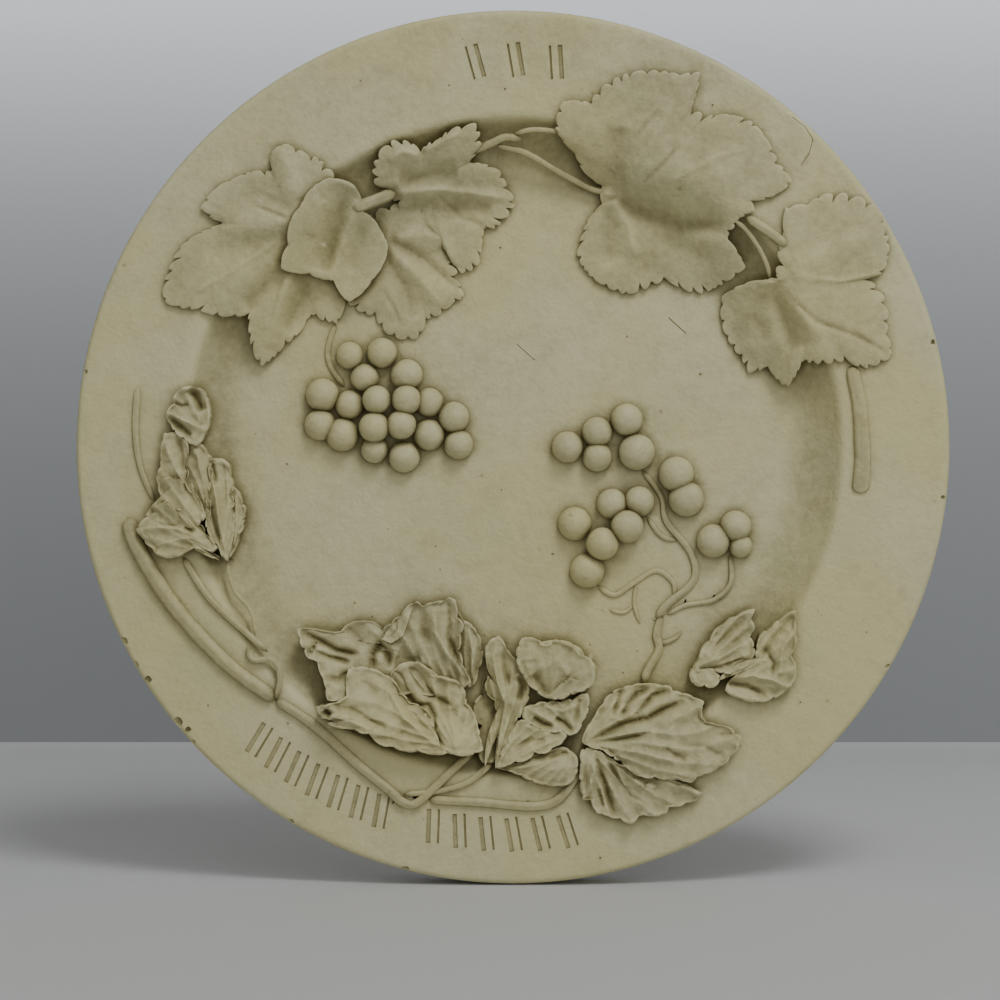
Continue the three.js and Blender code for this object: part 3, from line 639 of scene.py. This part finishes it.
sheet((-28, -105), 8, [
    (-49, -91), (-47, -88), (-42, -86.5), (-37.5, -86.5), (-34, -89), (-30, -92), (-26.5, -92.5),
    (-22.5, -94), (-20, -97), (-19, -103), (-15, -109), (-13.5, -115), (-12, -120.5), (-26, -121.5),
    (-31.5, -117.5), (-35.5, -113), (-41, -105), (-45, -98.5),
], [
    ([(-48, -90), (-43, -99), (-39, -104), (-35, -106)], 1.3, -3.6),
    ([(-42, -88), (-36, -96), (-32, -100), (-24, -104)], 1.4, -3),
    ([(-38, -87), (-32, -92), (-22, -94.5)], 1.2, 1.6),
    ([(-40, -103), (-34, -103.5), (-31.5, -108), (-31, -114), (-28, -120)], 1.2, -2.6),
    ([(-30, -106), (-24, -106), (-18, -112)], 2, -1.8), ([(-26, -108), (-24, -113), (-23, -120)], 2, 1),
], gather=(-22, -124), pleats=(0.8, 11), dome=1, droop=0.8)

# %% The withered leaf at the bottom
sheet((-9, -108), 1.5, [
    (-11, -91), (-7, -93), (-6, -106), (-6, -116), (-8, -126), (-12, -126), (-12.5, -112),
    (-12.5, -100),
], dome=0.2, rough=0.6)
sheet((-3, -100), 6, [
    (-11, -80), (-8, -77), (-6, -76), (-4, -78), (-2.5, -81.5), (-0.5, -84), (2.5, -88), (5, -93),
    (6.5, -97), (6.5, -100), (4, -105), (0.5, -110.5), (-2, -117.5), (-5.5, -126), (-7, -128),
    (-11, -127), (-8, -119), (-6, -114), (-6.5, -106), (-7, -102), (-8, -94), (-10, -92), (-11, -85.5),
], [
    ([(-6, -77), (-8, -84), (-6.5, -94), (-3, -104), (-3, -111), (-7, -122)], 1.3, 2.2),
    ([(-4, -82), (-3.5, -90), (-1, -97)], 1.4, -1.8), ([(0, -88), (-1, -95), (-1.5, -104)], 1.2, 1.2),
    ([(2, -92), (4, -96), (2, -102)], 1.3, -2.2),
], gather=(-7, -130), pleats=(0.8, 7), dome=0.5, droop=0.6)
sheet((17, -89), 8, [
    (2.5, -78.5), (3.5, -77), (6.5, -76.5), (9, -77), (11.5, -78.5), (14, -78), (17.5, -77.5),
    (21, -78), (24, -79), (27, -81), (29, -84), (31.5, -86), (33, -88), (33, -91), (32, -95), (28, -98),
    (25.5, -98.5), (22, -100), (18.5, -101.5), (15.5, -101), (11, -99.5), (8.5, -97.5), (5.5, -94),
    (3, -90), (1.5, -85.5), (1.5, -81.5),
], [
    ([(8, -91), (11, -96), (14, -100)], 2.6, -2.4), ([(10, -79), (13, -80), (16, -79)], 1, 1.4),
    ([(19, -78.5), (24, -80.5), (28, -85)], 1.1, 1.6),
    ([(14, -100), (19, -95), (23, -92.5), (27, -94)], 3, 1.8, -1),
    ([(17, -84), (20, -88), (22, -92)], 3, 1), ([(6, -80), (7, -86)], 2.5, 0.8),
], gather=(14, -108), pleats=(0.6, 16), dome=0.5, droop=0.4)
sheet((18, -107), 6.5, [
    (4, -105), (9, -103.5), (14, -102.5), (19, -102.5), (24, -101.5), (28, -99), (30, -99),
    (30.5, -102), (30, -105.5), (28, -109.5), (25.5, -114), (22.5, -115), (20, -113.5), (15.5, -114),
    (12, -113), (8.5, -111), (4, -109.5),
], [
    ([(8, -108.5), (12, -111), (16, -112)], 1.1, -2.6),
    ([(17, -108.5), (20.5, -110.5), (24, -114)], 1.2, -3),
    ([(12, -104), (20, -106), (27, -103)], 1.2, 1.4),
    ([(27, -101), (26, -106), (24.5, -111)], 1.3, -1.8),
], gather=(27, -117), pleats=(0.8, 15), dome=0.5, droop=0.6)
sheet((7, -117), 6, [
    (0, -110.5), (4, -109.5), (8.5, -111), (12, -113), (15.5, -114), (20, -113.5), (21.5, -115),
    (20, -117.5), (15.5, -120), (8.5, -121.5), (1, -125), (-6.5, -127.5), (-5.5, -124), (-2, -118),
], [
    ([(-5, -125), (-1, -118), (1, -112)], 1, 1.4), ([(3, -111), (9, -113), (16, -115.5)], 1.2, 1.3),
    ([(0, -120), (7, -117), (13, -117)], 1.5, -1.6),
], gather=(-8, -129), pleats=(0.7, 9), dome=0.5, droop=0.6)
sheet((13, -128), 3, [
    (-6.5, -128), (1, -126), (8, -123), (15.5, -121), (22.5, -121), (25.5, -124), (25.5, -130),
    (23, -134), (17.5, -135), (13, -134.5), (8, -133), (3.5, -131), (-2, -129),
], [
    ([(0, -128.5), (9, -126.5), (20, -123)], 1.2, 1.3), ([(14, -124), (18, -123), (22, -122)], 1.2, -2),
], gather=(27, -120), pleats=(0.6, 11), dome=0.8, droop=0.4)

# %% The withered leaf at the lower right
sheet((45, -136), 3.5, [
    (27.5, -120.5), (33, -120.5), (36.5, -122.5), (41.5, -126), (46, -129), (49.5, -131.5),
    (57, -132.5), (65, -133), (70, -135), (75, -138), (73, -141), (69, -142), (62.5, -143.5),
    (61, -146), (57, -147), (52, -146.5), (50, -147.5), (47, -150), (43, -148.5), (38, -147),
    (33.5, -145.5), (32, -143.5), (31, -140.5), (28, -140.5), (27, -136), (27, -128),
], [
    ([(33, -122), (34, -127), (36.5, -133.5), (38.5, -141), (41, -148)], 1.3, -2.4),
    ([(38, -125), (42.5, -133), (47, -139), (51, -141)], 1.4, -2),
    ([(40, -124.5), (43, -132), (45, -136)], 1.1, 1.6),
    ([(33, -125), (31, -133), (29, -140)], 1.2, 2.2), ([(34, -136), (36, -144)], 1, -1.6),
    ([(48, -132), (52, -136)], 1, 1.2), ([(53, -134), (57, -136)], 1, 1),
    ([(50, -147), (54, -145.5), (60, -146)], 1, 0.8), ([(66, -134.5), (71, -137), (74, -139)], 1.1, 1),
], gather=(27, -118), pleats=(0.8, 11), dome=0.8, droop=0.2)
sheet((56, -114), 5.5, [
    (27.5, -118), (29.5, -112.5), (33, -107.5), (36, -102.5), (40, -98.5), (44, -97), (48.5, -95.5),
    (54, -95), (59.5, -95.5), (63, -96), (64, -97.5), (66.5, -98), (72.5, -100), (76, -101.5),
    (75, -105), (75, -107.5), (77.5, -109.5), (81.5, -110.5), (86, -111.5), (89, -114), (91, -116),
    (89.5, -119.5), (87, -123), (84, -126), (79.5, -129), (73, -131), (71, -133.5), (65.5, -132),
    (57, -131.5), (50, -131), (47, -129), (43, -125), (36.5, -121), (30, -119),
], [
    ([(30, -117.5), (38, -114), (45, -110.5), (54, -108.5), (60, -105), (69, -101)], 1.4, -4),
    ([(29, -118.5), (41, -117), (50, -115), (55, -113)], 1.4, -2.8),
    ([(32, -119.5), (39, -121.5), (46, -128)], 1.2, -1.5),
    ([(44, -96.5), (42, -102), (40, -108)], 1.1, -2.2),
    ([(55, -97), (50, -99), (46, -103), (43, -109)], 1.1, -2.6),
    ([(63, -97.5), (56, -99.5), (53, -103), (48, -108)], 1.1, -2.4),
    ([(60, -119), (64, -122), (69, -125)], 1.5, -1.5),
    ([(66, -119), (76, -119), (84, -123.5)], 1.2, -0.9), ([(81, -115), (87, -114)], 1.2, -1),
    ([(58, -112), (66, -107), (73, -105)], 2.5, 1.2), ([(44, -121), (54, -122), (64, -125)], 2, 0.8),
], gather=(26, -118), pleats=(0.8, 9), dome=1, droop=0.6)

# %% The withered leaf at the right
sheet((77, -92), 3.5, [
    (71, -90), (75, -89), (81, -90), (83, -92.5), (81, -95), (76, -95.5), (71.5, -94),
], dome=0.8, droop=0.5)
sheet((87, -80), 4.5, [
    (72, -89), (74.5, -85), (79, -78), (84.5, -71.5), (90, -68), (97, -65), (95, -69), (96.5, -72),
    (94.5, -76), (96.5, -80), (95.5, -84), (88, -90), (81, -89.5),
], [
    ([(94, -68), (86, -75), (78, -83)], 1.3, -2), ([(95, -73), (88, -79), (81, -84)], 1.3, -1.6),
    ([(73, -88.5), (82, -84), (91, -79)], 1.2, 1.8), ([(74, -89), (83, -88), (92, -84)], 1.2, -1.6),
], gather=(72, -90), pleats=(0.8, 10), dome=0.8, droop=0.5)
sheet((102, -85), 4, [
    (97, -84), (97.5, -78), (103, -72), (107.5, -68), (113, -65), (112.5, -70), (112.5, -74),
    (110.5, -83), (111.5, -94), (107.5, -98), (104, -100), (96.5, -101.5), (90, -100), (84.5, -97),
    (82.5, -93), (89, -90.5),
], [
    ([(86, -92), (96, -91), (104, -93), (110, -96)], 1.4, 2),
    ([(84, -94), (93, -95), (101, -99)], 1.2, -2.4), ([(112, -67), (104, -76), (98, -86)], 1.5, -2),
    ([(112, -73), (107, -81), (106, -91)], 1.3, 1.6), ([(100, -80), (104, -86), (103, -92)], 1, -1.6),
], gather=(86, -95), pleats=(0.7, 13), dome=0.8, droop=0.6)
forms += sheets

# %% [markdown]
# ## One casting
# The forms overlap each other and the plate. The boolean's manifold solver joins two closed
# meshes exactly and fast. They are joined in pairs, and the pairs in pairs, so that the big
# meshes are only handled a few times.

# %% Joining
def join(first, second, operation="UNION"):
    """Joins the second body to the first, or cuts it away with DIFFERENCE."""
    pick(first)
    boolean = first.modifiers.new("join", "BOOLEAN")
    boolean.operation = operation
    boolean.solver = "MANIFOLD"
    boolean.object = second
    bpy.ops.object.modifier_apply(modifier=boolean.name)
    bpy.data.objects.remove(second)
    return first


def count_triangles(body):
    return sum(len(p.vertices) - 2 for p in body.data.polygons)


bpy.context.view_layer.update()
while len(forms) > 1:
    pairs = zip(forms[::2], forms[1::2])
    forms = [join(a, b) for a, b in pairs] + forms[len(forms) // 2 * 2:]
garland = forms[0]
print("garland:", count_triangles(garland))

# %% [markdown]
# ## Strokes, pits and chips
# What was cut into the casting, or broken from it, is taken away by booleans. All the cutters
# of a kind are made as one mesh of closed bodies. The lettering round the rim is stood in for
# by pairs of plain strokes, a broad one and a narrow one.

# %% Cutters
def cutter(name, bodies):
    """One mesh from (points, faces) of closed bodies, with the points in millimetres."""
    points = []
    faces = []
    for body_points, body_faces in bodies:
        faces += [tuple(i + len(points) for i in face) for face in body_faces]
        points += [(x * MM, -h * MM, z * MM) for x, h, z in body_points]
    mesh = bpy.data.meshes.new(name)
    mesh.from_pydata(points, [], faces)
    tool = added(name, mesh)
    pick(tool)
    bpy.ops.object.mode_set(mode="EDIT")
    bpy.ops.mesh.select_all(action="SELECT")
    bpy.ops.mesh.normals_make_consistent(inside=False)
    bpy.ops.object.mode_set(mode="OBJECT")
    return tool


BOX_FACES = [(0, 1, 2, 3), (7, 6, 5, 4), (0, 4, 5, 1), (1, 5, 6, 2), (2, 6, 7, 3), (3, 7, 4, 0)]


def slot(start, end, width, depth, top):
    """A straight groove from start to end, with a flat bottom and sloping sides."""
    along = (Vector(end) - Vector(start)).normalized()
    across = Vector((-along.y, along.x)) * width / 2
    points = []
    for height, wide in ((top - depth, 0.6), (top + 1, 1.9)):
        for point, turn in ((start, -1), (end, -1), (end, 1), (start, 1)):
            corner = Vector(point) + across * turn * wide
            points.append((corner.x, height, corner.y))
    return points, BOX_FACES


BAND_RADIUS = 155
STROKE_LENGTH = 13.5
STROKE_DEPTH = 0.5
STROKE_LEAN = math.radians(10)
# each row has the bearings of its first and last place in degrees, and how many places
STROKE_ROWS = [(95.5, 83.5, 3), (229, 250, 7), (258, 278, 6)]
# each place has a broad stroke and a narrow one: how far to the side it lies, and its width
STROKE_PAIR = [(-1.6, 1.9), (2.4, 0.9)]
grooves = []
for first, last, count in STROKE_ROWS:
    for bearing in np.radians(np.linspace(first, last, count)):
        along = Vector((math.cos(bearing + STROKE_LEAN), math.sin(bearing + STROKE_LEAN)))
        across = Vector((-along.y, along.x))
        for aside, width in STROKE_PAIR:
            middle = Vector((math.cos(bearing), math.sin(bearing))) * BAND_RADIUS + across * aside
            ends = [middle - along * STROKE_LENGTH / 2, middle + along * STROKE_LENGTH / 2]
            grooves.append(slot(*ends, width, STROKE_DEPTH, RIM_HEIGHT))
# a hairline crack at the upper right, and two scratches in the floor
CRACK = [(112, 132), (117, 128), (120, 123), (118.5, 117.5), (115.5, 113)]
for start, end in zip(CRACK, CRACK[1:]):
    grooves.append(slot(start, end, width=0.3, depth=0.35, top=RIM_HEIGHT))
grooves.append(slot((1.6, 41.6), (8.8, 35.2), width=0.4, depth=0.25, top=FLOOR_HEIGHT))
grooves.append(slot((63, 52.4), (70, 46), width=0.6, depth=0.25, top=FLOOR_HEIGHT))


# %% Pits and chips
def lump(x, height, z, radius, flat, chance):
    """A small uneven ball, flattened towards the wall."""
    points = []
    faces = []
    rows = 4
    sides = 7
    for row in range(1, rows):
        for side in range(sides):
            polar, turn = row / rows * math.pi, side / sides * TAU
            r = radius * chance.uniform(0.75, 1.2)
            points.append((x + r * math.sin(polar) * math.cos(turn), height + r * flat * math.cos(polar),
                           z + r * math.sin(polar) * math.sin(turn)))
    points += [(x, height + radius * flat, z), (x, height - radius * flat, z)]
    for side in range(sides):
        after = (side + 1) % sides
        faces.append((side, after, len(points) - 2))
        faces.append((after + (rows - 2) * sides, side + (rows - 2) * sides, len(points) - 1))
        for row in range(rows - 2):
            faces.append((side + row * sides, side + (row + 1) * sides, after + (row + 1) * sides,
                          after + row * sides))
    return points, faces


chance = np.random.default_rng(7)
# chips along the outer edge, mostly at the lower left
CHIPS = [(-156, -78, 2.2), (-151, -87, 1.6), (-146, -93, 1.8), (-134, -110, 2.4), (-130, -113, 1.5),
         (-128, -118, 1.3), (-43, -169, 1.8), (-89, -150, 1.5), (150, -88, 1.4), (168, 42, 1.3),
         (172, -20, 1.1), (-171, 30, 1.2)]
chips = [lump(x, RIM_HEIGHT - 0.4, z, r, 0.6, chance) for x, z, r in CHIPS]
RIM_PITS = 26
FLOOR_PITS = 22
pits = []
for i in range(RIM_PITS):
    bearing, out = chance.uniform(0, TAU), chance.uniform(136, 172)
    x, z = out * math.cos(bearing), out * math.sin(bearing)
    pits.append(lump(x, RIM_HEIGHT, z, chance.uniform(0.25, 0.55), 0.8, chance))
for i in range(FLOOR_PITS):
    bearing, out = chance.uniform(0, TAU), 105 * math.sqrt(chance.uniform(0.02, 1))
    x, z = out * math.cos(bearing), out * math.sin(bearing)
    pits.append(lump(x, FLOOR_HEIGHT, z, chance.uniform(0.3, 0.6), 0.8, chance))

# %% Cutting and joining
for name, bodies in (("grooves", grooves), ("chips", chips), ("pits", pits)):
    whole = join(whole, cutter(name, bodies), "DIFFERENCE")
    print(name, "cut:", count_triangles(whole))
# the thick stem at the right was cut off at a slant
slant = [(133, 26, -5), (146, 26, -5), (146, 22.4, -20), (133, 22.4, -20)]
slant += [(x, height + 8, z) for x, height, z in slant]
garland = join(garland, cutter("slant", [(slant, BOX_FACES)]), "DIFFERENCE")
kept = stem_places | places([whole])
plaque = join(whole, garland)
print("joined:", count_triangles(plaque))

# %% [markdown]
# The garland is finer than it needs to be where it is smooth. The edges that matter least
# are collapsed there, while the plate and the stems keep their even faces.

# %% Thinning
TRIANGLES = 190000
relief = plaque.vertex_groups.new(name="relief")
finer = [v.index for v in plaque.data.vertices if place_of(v) not in kept]
relief.add(finer, 1, "REPLACE")
pick(plaque)
thinning = plaque.modifiers.new("thinning", "DECIMATE")
thinning.ratio = TRIANGLES / count_triangles(plaque)
thinning.vertex_group = relief.name
bpy.ops.object.modifier_apply(modifier=thinning.name)
plaque.vertex_groups.clear()
plaque.data.validate()
print("thinned:", count_triangles(plaque))

# %% Finish
plaque.name = "plaque_casting"
pick(plaque)
bpy.ops.object.shade_smooth_by_angle(angle=math.radians(38))

# %% [markdown]
# ## How deep the surface lies
# The tone was wiped from what stands proud and stayed in what lies deep, and what lies deep
# between tall forms is also painted darker as shade. A grid of heights is read from the front
# of the casting and blurred, as a cloth would lie over it. How far each vertex lies below the
# cloth, and how far above the plate, is kept with the mesh.

# %% Depth
GRID = 2
COVE_DARKENING = 2.6


def front_heights(body):
    """The heights over a square grid in millimetres, with the rim's height outside the plate."""
    surface = BVHTree.FromObject(body, bpy.context.evaluated_depsgraph_get())
    at = np.arange(-PLATE_RADIUS, PLATE_RADIUS + GRID, GRID)
    heights = np.full((len(at), len(at)), float(RIM_HEIGHT))
    for row, z in enumerate(at):
        for column, x in enumerate(at):
            hit = surface.ray_cast(Vector((x * MM, -0.1, z * MM)), Vector((0, 1, 0)))[0]
            if hit is not None and math.hypot(x, z) < PLATE_RADIUS - 4:
                heights[row, column] = -hit.y / MM
    return at, heights


def blurred(heights, size):
    """The heights averaged over about size millimetres either way."""
    steps = math.ceil(3 * size / GRID)
    weights = np.exp(-0.5 * (np.arange(-steps, steps + 1) * GRID / size) ** 2)
    weights /= weights.sum()
    heights = np.pad(heights, steps, mode="edge")
    for axis in (0, 1):
        heights = np.apply_along_axis(np.convolve, axis, heights, weights, mode="valid")
    return heights


def sampled(at, heights, x, z):
    """The grid's values at x and z, between the four nearest points."""
    across = np.clip((x - at[0]) / GRID, 0, len(at) - 1.001)
    up = np.clip((z - at[0]) / GRID, 0, len(at) - 1.001)
    i, j = across.astype(int), up.astype(int)
    a, b = across - i, up - j
    low = heights[j, i] * (1 - a) + heights[j, i + 1] * a
    high = heights[j + 1, i] * (1 - a) + heights[j + 1, i + 1] * a
    return low * (1 - b) + high * b


def measure_depth(body):
    """Keeps with each vertex its dip below the cloth and how proud of the plate it stands."""
    at, heights = front_heights(body)
    # one cloth lies close and dips into the gaps, and a stiffer one spans them
    cloth = 0.6 * blurred(heights, 4) + 0.4 * blurred(heights, 11)
    points = np.empty(3 * len(body.data.vertices))
    body.data.vertices.foreach_get("co", points)
    x, y, z = points.reshape(-1, 3).T / MM
    out = np.hypot(x, z)
    # the dip darkens the tone, as patina and as painted shade in gaps and below tall leaves
    dip = np.clip(sampled(at, cloth, x, z) + y, -1, 2.8)
    # the outer edge and the back are left plain
    dip[(out > PLATE_RADIUS - 3) | (-y < FLOOR_HEIGHT - 1)] = 0
    along = np.clip((out - FLOOR_RADIUS) / (COVE_RADIUS - FLOOR_RADIUS), 0, 1)
    level = FLOOR_HEIGHT + (RIM_HEIGHT - FLOOR_HEIGHT) * along**COVE_CURVE
    proud = np.clip((-y - level) / 2, 0, 1)
    # the cove is darkened more than the flats on either side
    cove = smoothstep(out, FLOOR_RADIUS - 4, FLOOR_RADIUS + 8)
    cove *= 1 - smoothstep(out, LIP_RADIUS - 3, LIP_RADIUS)
    dip += COVE_DARKENING * cove * (1 - proud)
    for name, values in (("dip", dip), ("proud", proud)):
        body.data.attributes.new(name, "FLOAT", "POINT").data.foreach_set("value", values)


measure_depth(plaque)

# %% [markdown]
# ## The toned plaster, with painted shade and highlights
# Node sockets are wrapped, so that shader maths reads as arithmetic.

# %% Shader maths
class Value:
    """A socket that adds, subtracts, multiplies and mixes by making nodes."""

    def __init__(self, tree, socket):
        self.tree = tree
        self.socket = socket

    def node(self, kind, inputs, output=0, **settings):
        """One of a new node's outputs, after its settings and then its inputs are given."""
        made = self.tree.nodes.new(kind)
        for key, setting in settings.items():
            setattr(made, key, setting)
        for key, value in inputs.items():
            if isinstance(value, Value):
                self.tree.links.new(value.socket, made.inputs[key])
            else:
                made.inputs[key].default_value = value
        return Value(self.tree, made.outputs[output])

    def math(self, operation, other):
        return self.node("ShaderNodeMath", {0: self, 1: other}, operation=operation)

    def __add__(self, other):
        return self.math("ADD", other)

    def __sub__(self, other):
        return self.math("SUBTRACT", other)

    def __mul__(self, other):
        return self.math("MULTIPLY", other)

    def __radd__(self, other):
        return self + other

    def __rmul__(self, other):
        return self * other

    def __rsub__(self, other):
        return self * -1.0 + other

    def step(self, low, high):
        """0 below low and 1 above high, with a soft change between."""
        ranged = {"Value": self, "From Min": low, "From Max": high}
        return self.node("ShaderNodeMapRange", ranged, interpolation_type="SMOOTHSTEP", clamp=True)

    def mix(self, first, second):
        """The colour first where this is 0 and second where it is 1."""
        colors = {0: self, 6: first, 7: second}
        return self.node("ShaderNodeMix", colors, output=2, data_type="RGBA")


# %% [markdown]
# The plain plaster is clouded from yellowish to pale, and greenish in patches. The tone lies
# over it where the casting holds it, and it is painted shade as well: it is heavy in what has
# little opening or lies deep, where it stands both for the patina and for the shade in crevices,
# between grapes and under leaves. It is heavier on the relief and darker towards the top. It is
# less on ridges, which are rubbed pale, and that paleness also paints a highlight on them.
# Noise breaks it up.

# %% Toned plaster
YELLOWISH = (0.577, 0.53, 0.27, 1)
PALE = (0.597, 0.562, 0.325, 1)
GREENISH = (0.49, 0.50, 0.28, 1)
# the olive brown is the tone and the painted shade, and the pale after it is rubbed ridges with a painted
# highlight
TONE_AND_SHADE = (0.17, 0.143, 0.048, 1)
RUBBED_AND_HIGHLIGHT = (0.66, 0.62, 0.39, 1)
SPOT = (0.25, 0.17, 0.07, 1)
plaster = bpy.data.materials.new("toned_and_shaded_plaster")
plaster.use_nodes = True
tree = plaster.node_tree
shader = tree.nodes["Principled BSDF"]
maker = Value(tree, None)
place = maker.node("ShaderNodeTexCoord", {}, output="Object")


def noise(scale, detail=3.0, shift=0.0, roughness=0.5):
    """Noise about 0 to 1 with a scale in millimetres."""
    moved = place.node("ShaderNodeVectorMath", {0: place, 1: (shift, shift, shift)})
    settings = {"Vector": moved, "Scale": 1000 / scale, "Detail": detail, "Roughness": roughness}
    return maker.node("ShaderNodeTexNoise", settings)


dip = maker.node("ShaderNodeAttribute", {}, output="Fac", attribute_name="dip")
proud = maker.node("ShaderNodeAttribute", {}, output="Fac", attribute_name="proud")
pointiness = maker.node("ShaderNodeNewGeometry", {}, output="Pointiness")
# how open the surface is close by: where it is closed, the tone darkens as patina and as painted shade in
# crevices and under leaves
open_share = maker.node("ShaderNodeAmbientOcclusion", {"Distance": 0.004}, output="AO", samples=2,
                        only_local=True)

cloud = noise(60, shift=0.3)
fleck = noise(3.2, detail=5, shift=0.7, roughness=0.65)
smear = noise(14, detail=4, shift=5.7, roughness=0.6)
# darker towards the top
upper = place.node("ShaderNodeSeparateXYZ", {0: place}, output=2).step(0.08, 0.18)
# where the tone and the painted shade go: patina in hollows, and shade painted in crevices, gaps and
# under leaves
hollow = (1 - open_share) * 0.7 + dip * 0.065 + proud * 0.25 + (0.5 - pointiness) * 2.3 + upper * 0.15
broken = hollow + (fleck - 0.5) * 0.45 + (smear - 0.5) * 0.45 + (cloud - 0.5) * 0.3
tone_and_shade = (broken + 0.14).step(0.0, 1.0)
plain = cloud.step(0.35, 0.65).mix(YELLOWISH, PALE)
greener = noise(45, shift=1.9).step(0.54, 0.72) * 0.4
plain = greener.mix(plain, GREENISH)
toned_and_shaded = tone_and_shade.mix(plain, TONE_AND_SHADE)
# ridges are rubbed pale, which also paints a highlight along them
rubbed_and_highlight = pointiness.step(0.52, 0.62) * 0.4
toned_and_shaded = rubbed_and_highlight.mix(toned_and_shaded, RUBBED_AND_HIGHLIGHT)
spots = noise(9, detail=2, shift=4.1).step(0.74, 0.78) * 0.5
color = spots.mix(toned_and_shaded, SPOT)
tree.links.new(color.socket, shader.inputs["Base Color"])
roughness = 0.52 + fleck * 0.18 + tone_and_shade * 0.12
tree.links.new(roughness.socket, shader.inputs["Roughness"])
grain = noise(1.6, detail=4, shift=2.2) * 0.5 + noise(7, detail=3, shift=3.3)
bump = maker.node("ShaderNodeBump", {"Height": grain, "Strength": 0.7, "Distance": 0.0008})
tree.links.new(bump.socket, shader.inputs["Normal"])

plaque.data.materials.clear()
plaque.data.materials.append(plaster)
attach(plaque, "root")
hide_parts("plaque")

# %% [markdown]
# ## The stage
# A plain pale floor, a plain backdrop and soft light from above, with a strip of light that
# falls off down the backdrop. The backdrop can be looked through from behind, so that it
# doesn't hide the back of the plaque.

# %% Stage
STAGE_SIZE = 6
FLOOR_GAP = 0.0005
BACKDROP_PLACE = 0.44
FLOOR_COLOR = (0.52, 0.525, 0.53)
BACKDROP_COLOR = (0.265, 0.277, 0.29)
MATT = 0.9


def stage_plane(name, location, rotation, color, one_sided=False):
    """Adds a plain matt plane. The back of a one-sided plane can be looked through."""
    bpy.ops.mesh.primitive_plane_add(size=STAGE_SIZE, location=location, rotation=rotation)
    plane = bpy.context.object
    plane.name = name
    paint = bpy.data.materials.new(name)
    paint.use_nodes = True
    nodes = paint.node_tree.nodes
    links = paint.node_tree.links
    matt = nodes["Principled BSDF"]
    matt.inputs["Base Color"].default_value = (*color, 1)
    matt.inputs["Roughness"].default_value = MATT
    if one_sided:
        side = nodes.new("ShaderNodeNewGeometry")
        clear = nodes.new("ShaderNodeBsdfTransparent")
        mix = nodes.new("ShaderNodeMixShader")
        links.new(side.outputs["Backfacing"], mix.inputs[0])
        links.new(matt.outputs["BSDF"], mix.inputs[1])
        links.new(clear.outputs["BSDF"], mix.inputs[2])
        links.new(mix.outputs["Shader"], nodes["Material Output"].inputs["Surface"])
    plane.data.materials.append(paint)


stage_plane("floor", (0, 0, cad_low.z - FLOOR_GAP), (0, 0, 0), FLOOR_COLOR)
stage_plane("backdrop", (0, BACKDROP_PLACE, 0), (math.pi / 2, 0, 0), BACKDROP_COLOR, one_sided=True)


def area(name, location, target, size, power, height=None, spread=180):
    """Adds an area light that faces a target, size wide and height high."""
    data = bpy.data.lights.new(name, "AREA")
    data.shape = "RECTANGLE"
    data.size = size
    data.size_y = height or size
    data.spread = math.radians(spread)
    data.energy = power
    light = added(name, data)
    light.location = location
    light.rotation_euler = (Vector(target) - Vector(location)).to_track_quat("-Z", "Y").to_euler()


area("key", (0.5, -1.0, 1.5), (0, 0, 0), 0.6, 16)
area("fill", (0.5, -1.5, 0.3), (0, 0, 0), 1.5, 6)
area("wall", (0.05, 0.3, 0.42), (0.05, BACKDROP_PLACE, 0.3), 1.4, 2.6, height=0.15, spread=80)
world = bpy.data.worlds.new("world")
world.use_nodes = True
sky = world.node_tree.nodes["Background"]
sky.inputs["Color"].default_value = (1, 0.99, 0.96, 1)
sky.inputs["Strength"].default_value = 0.35
bpy.context.scene.world = world
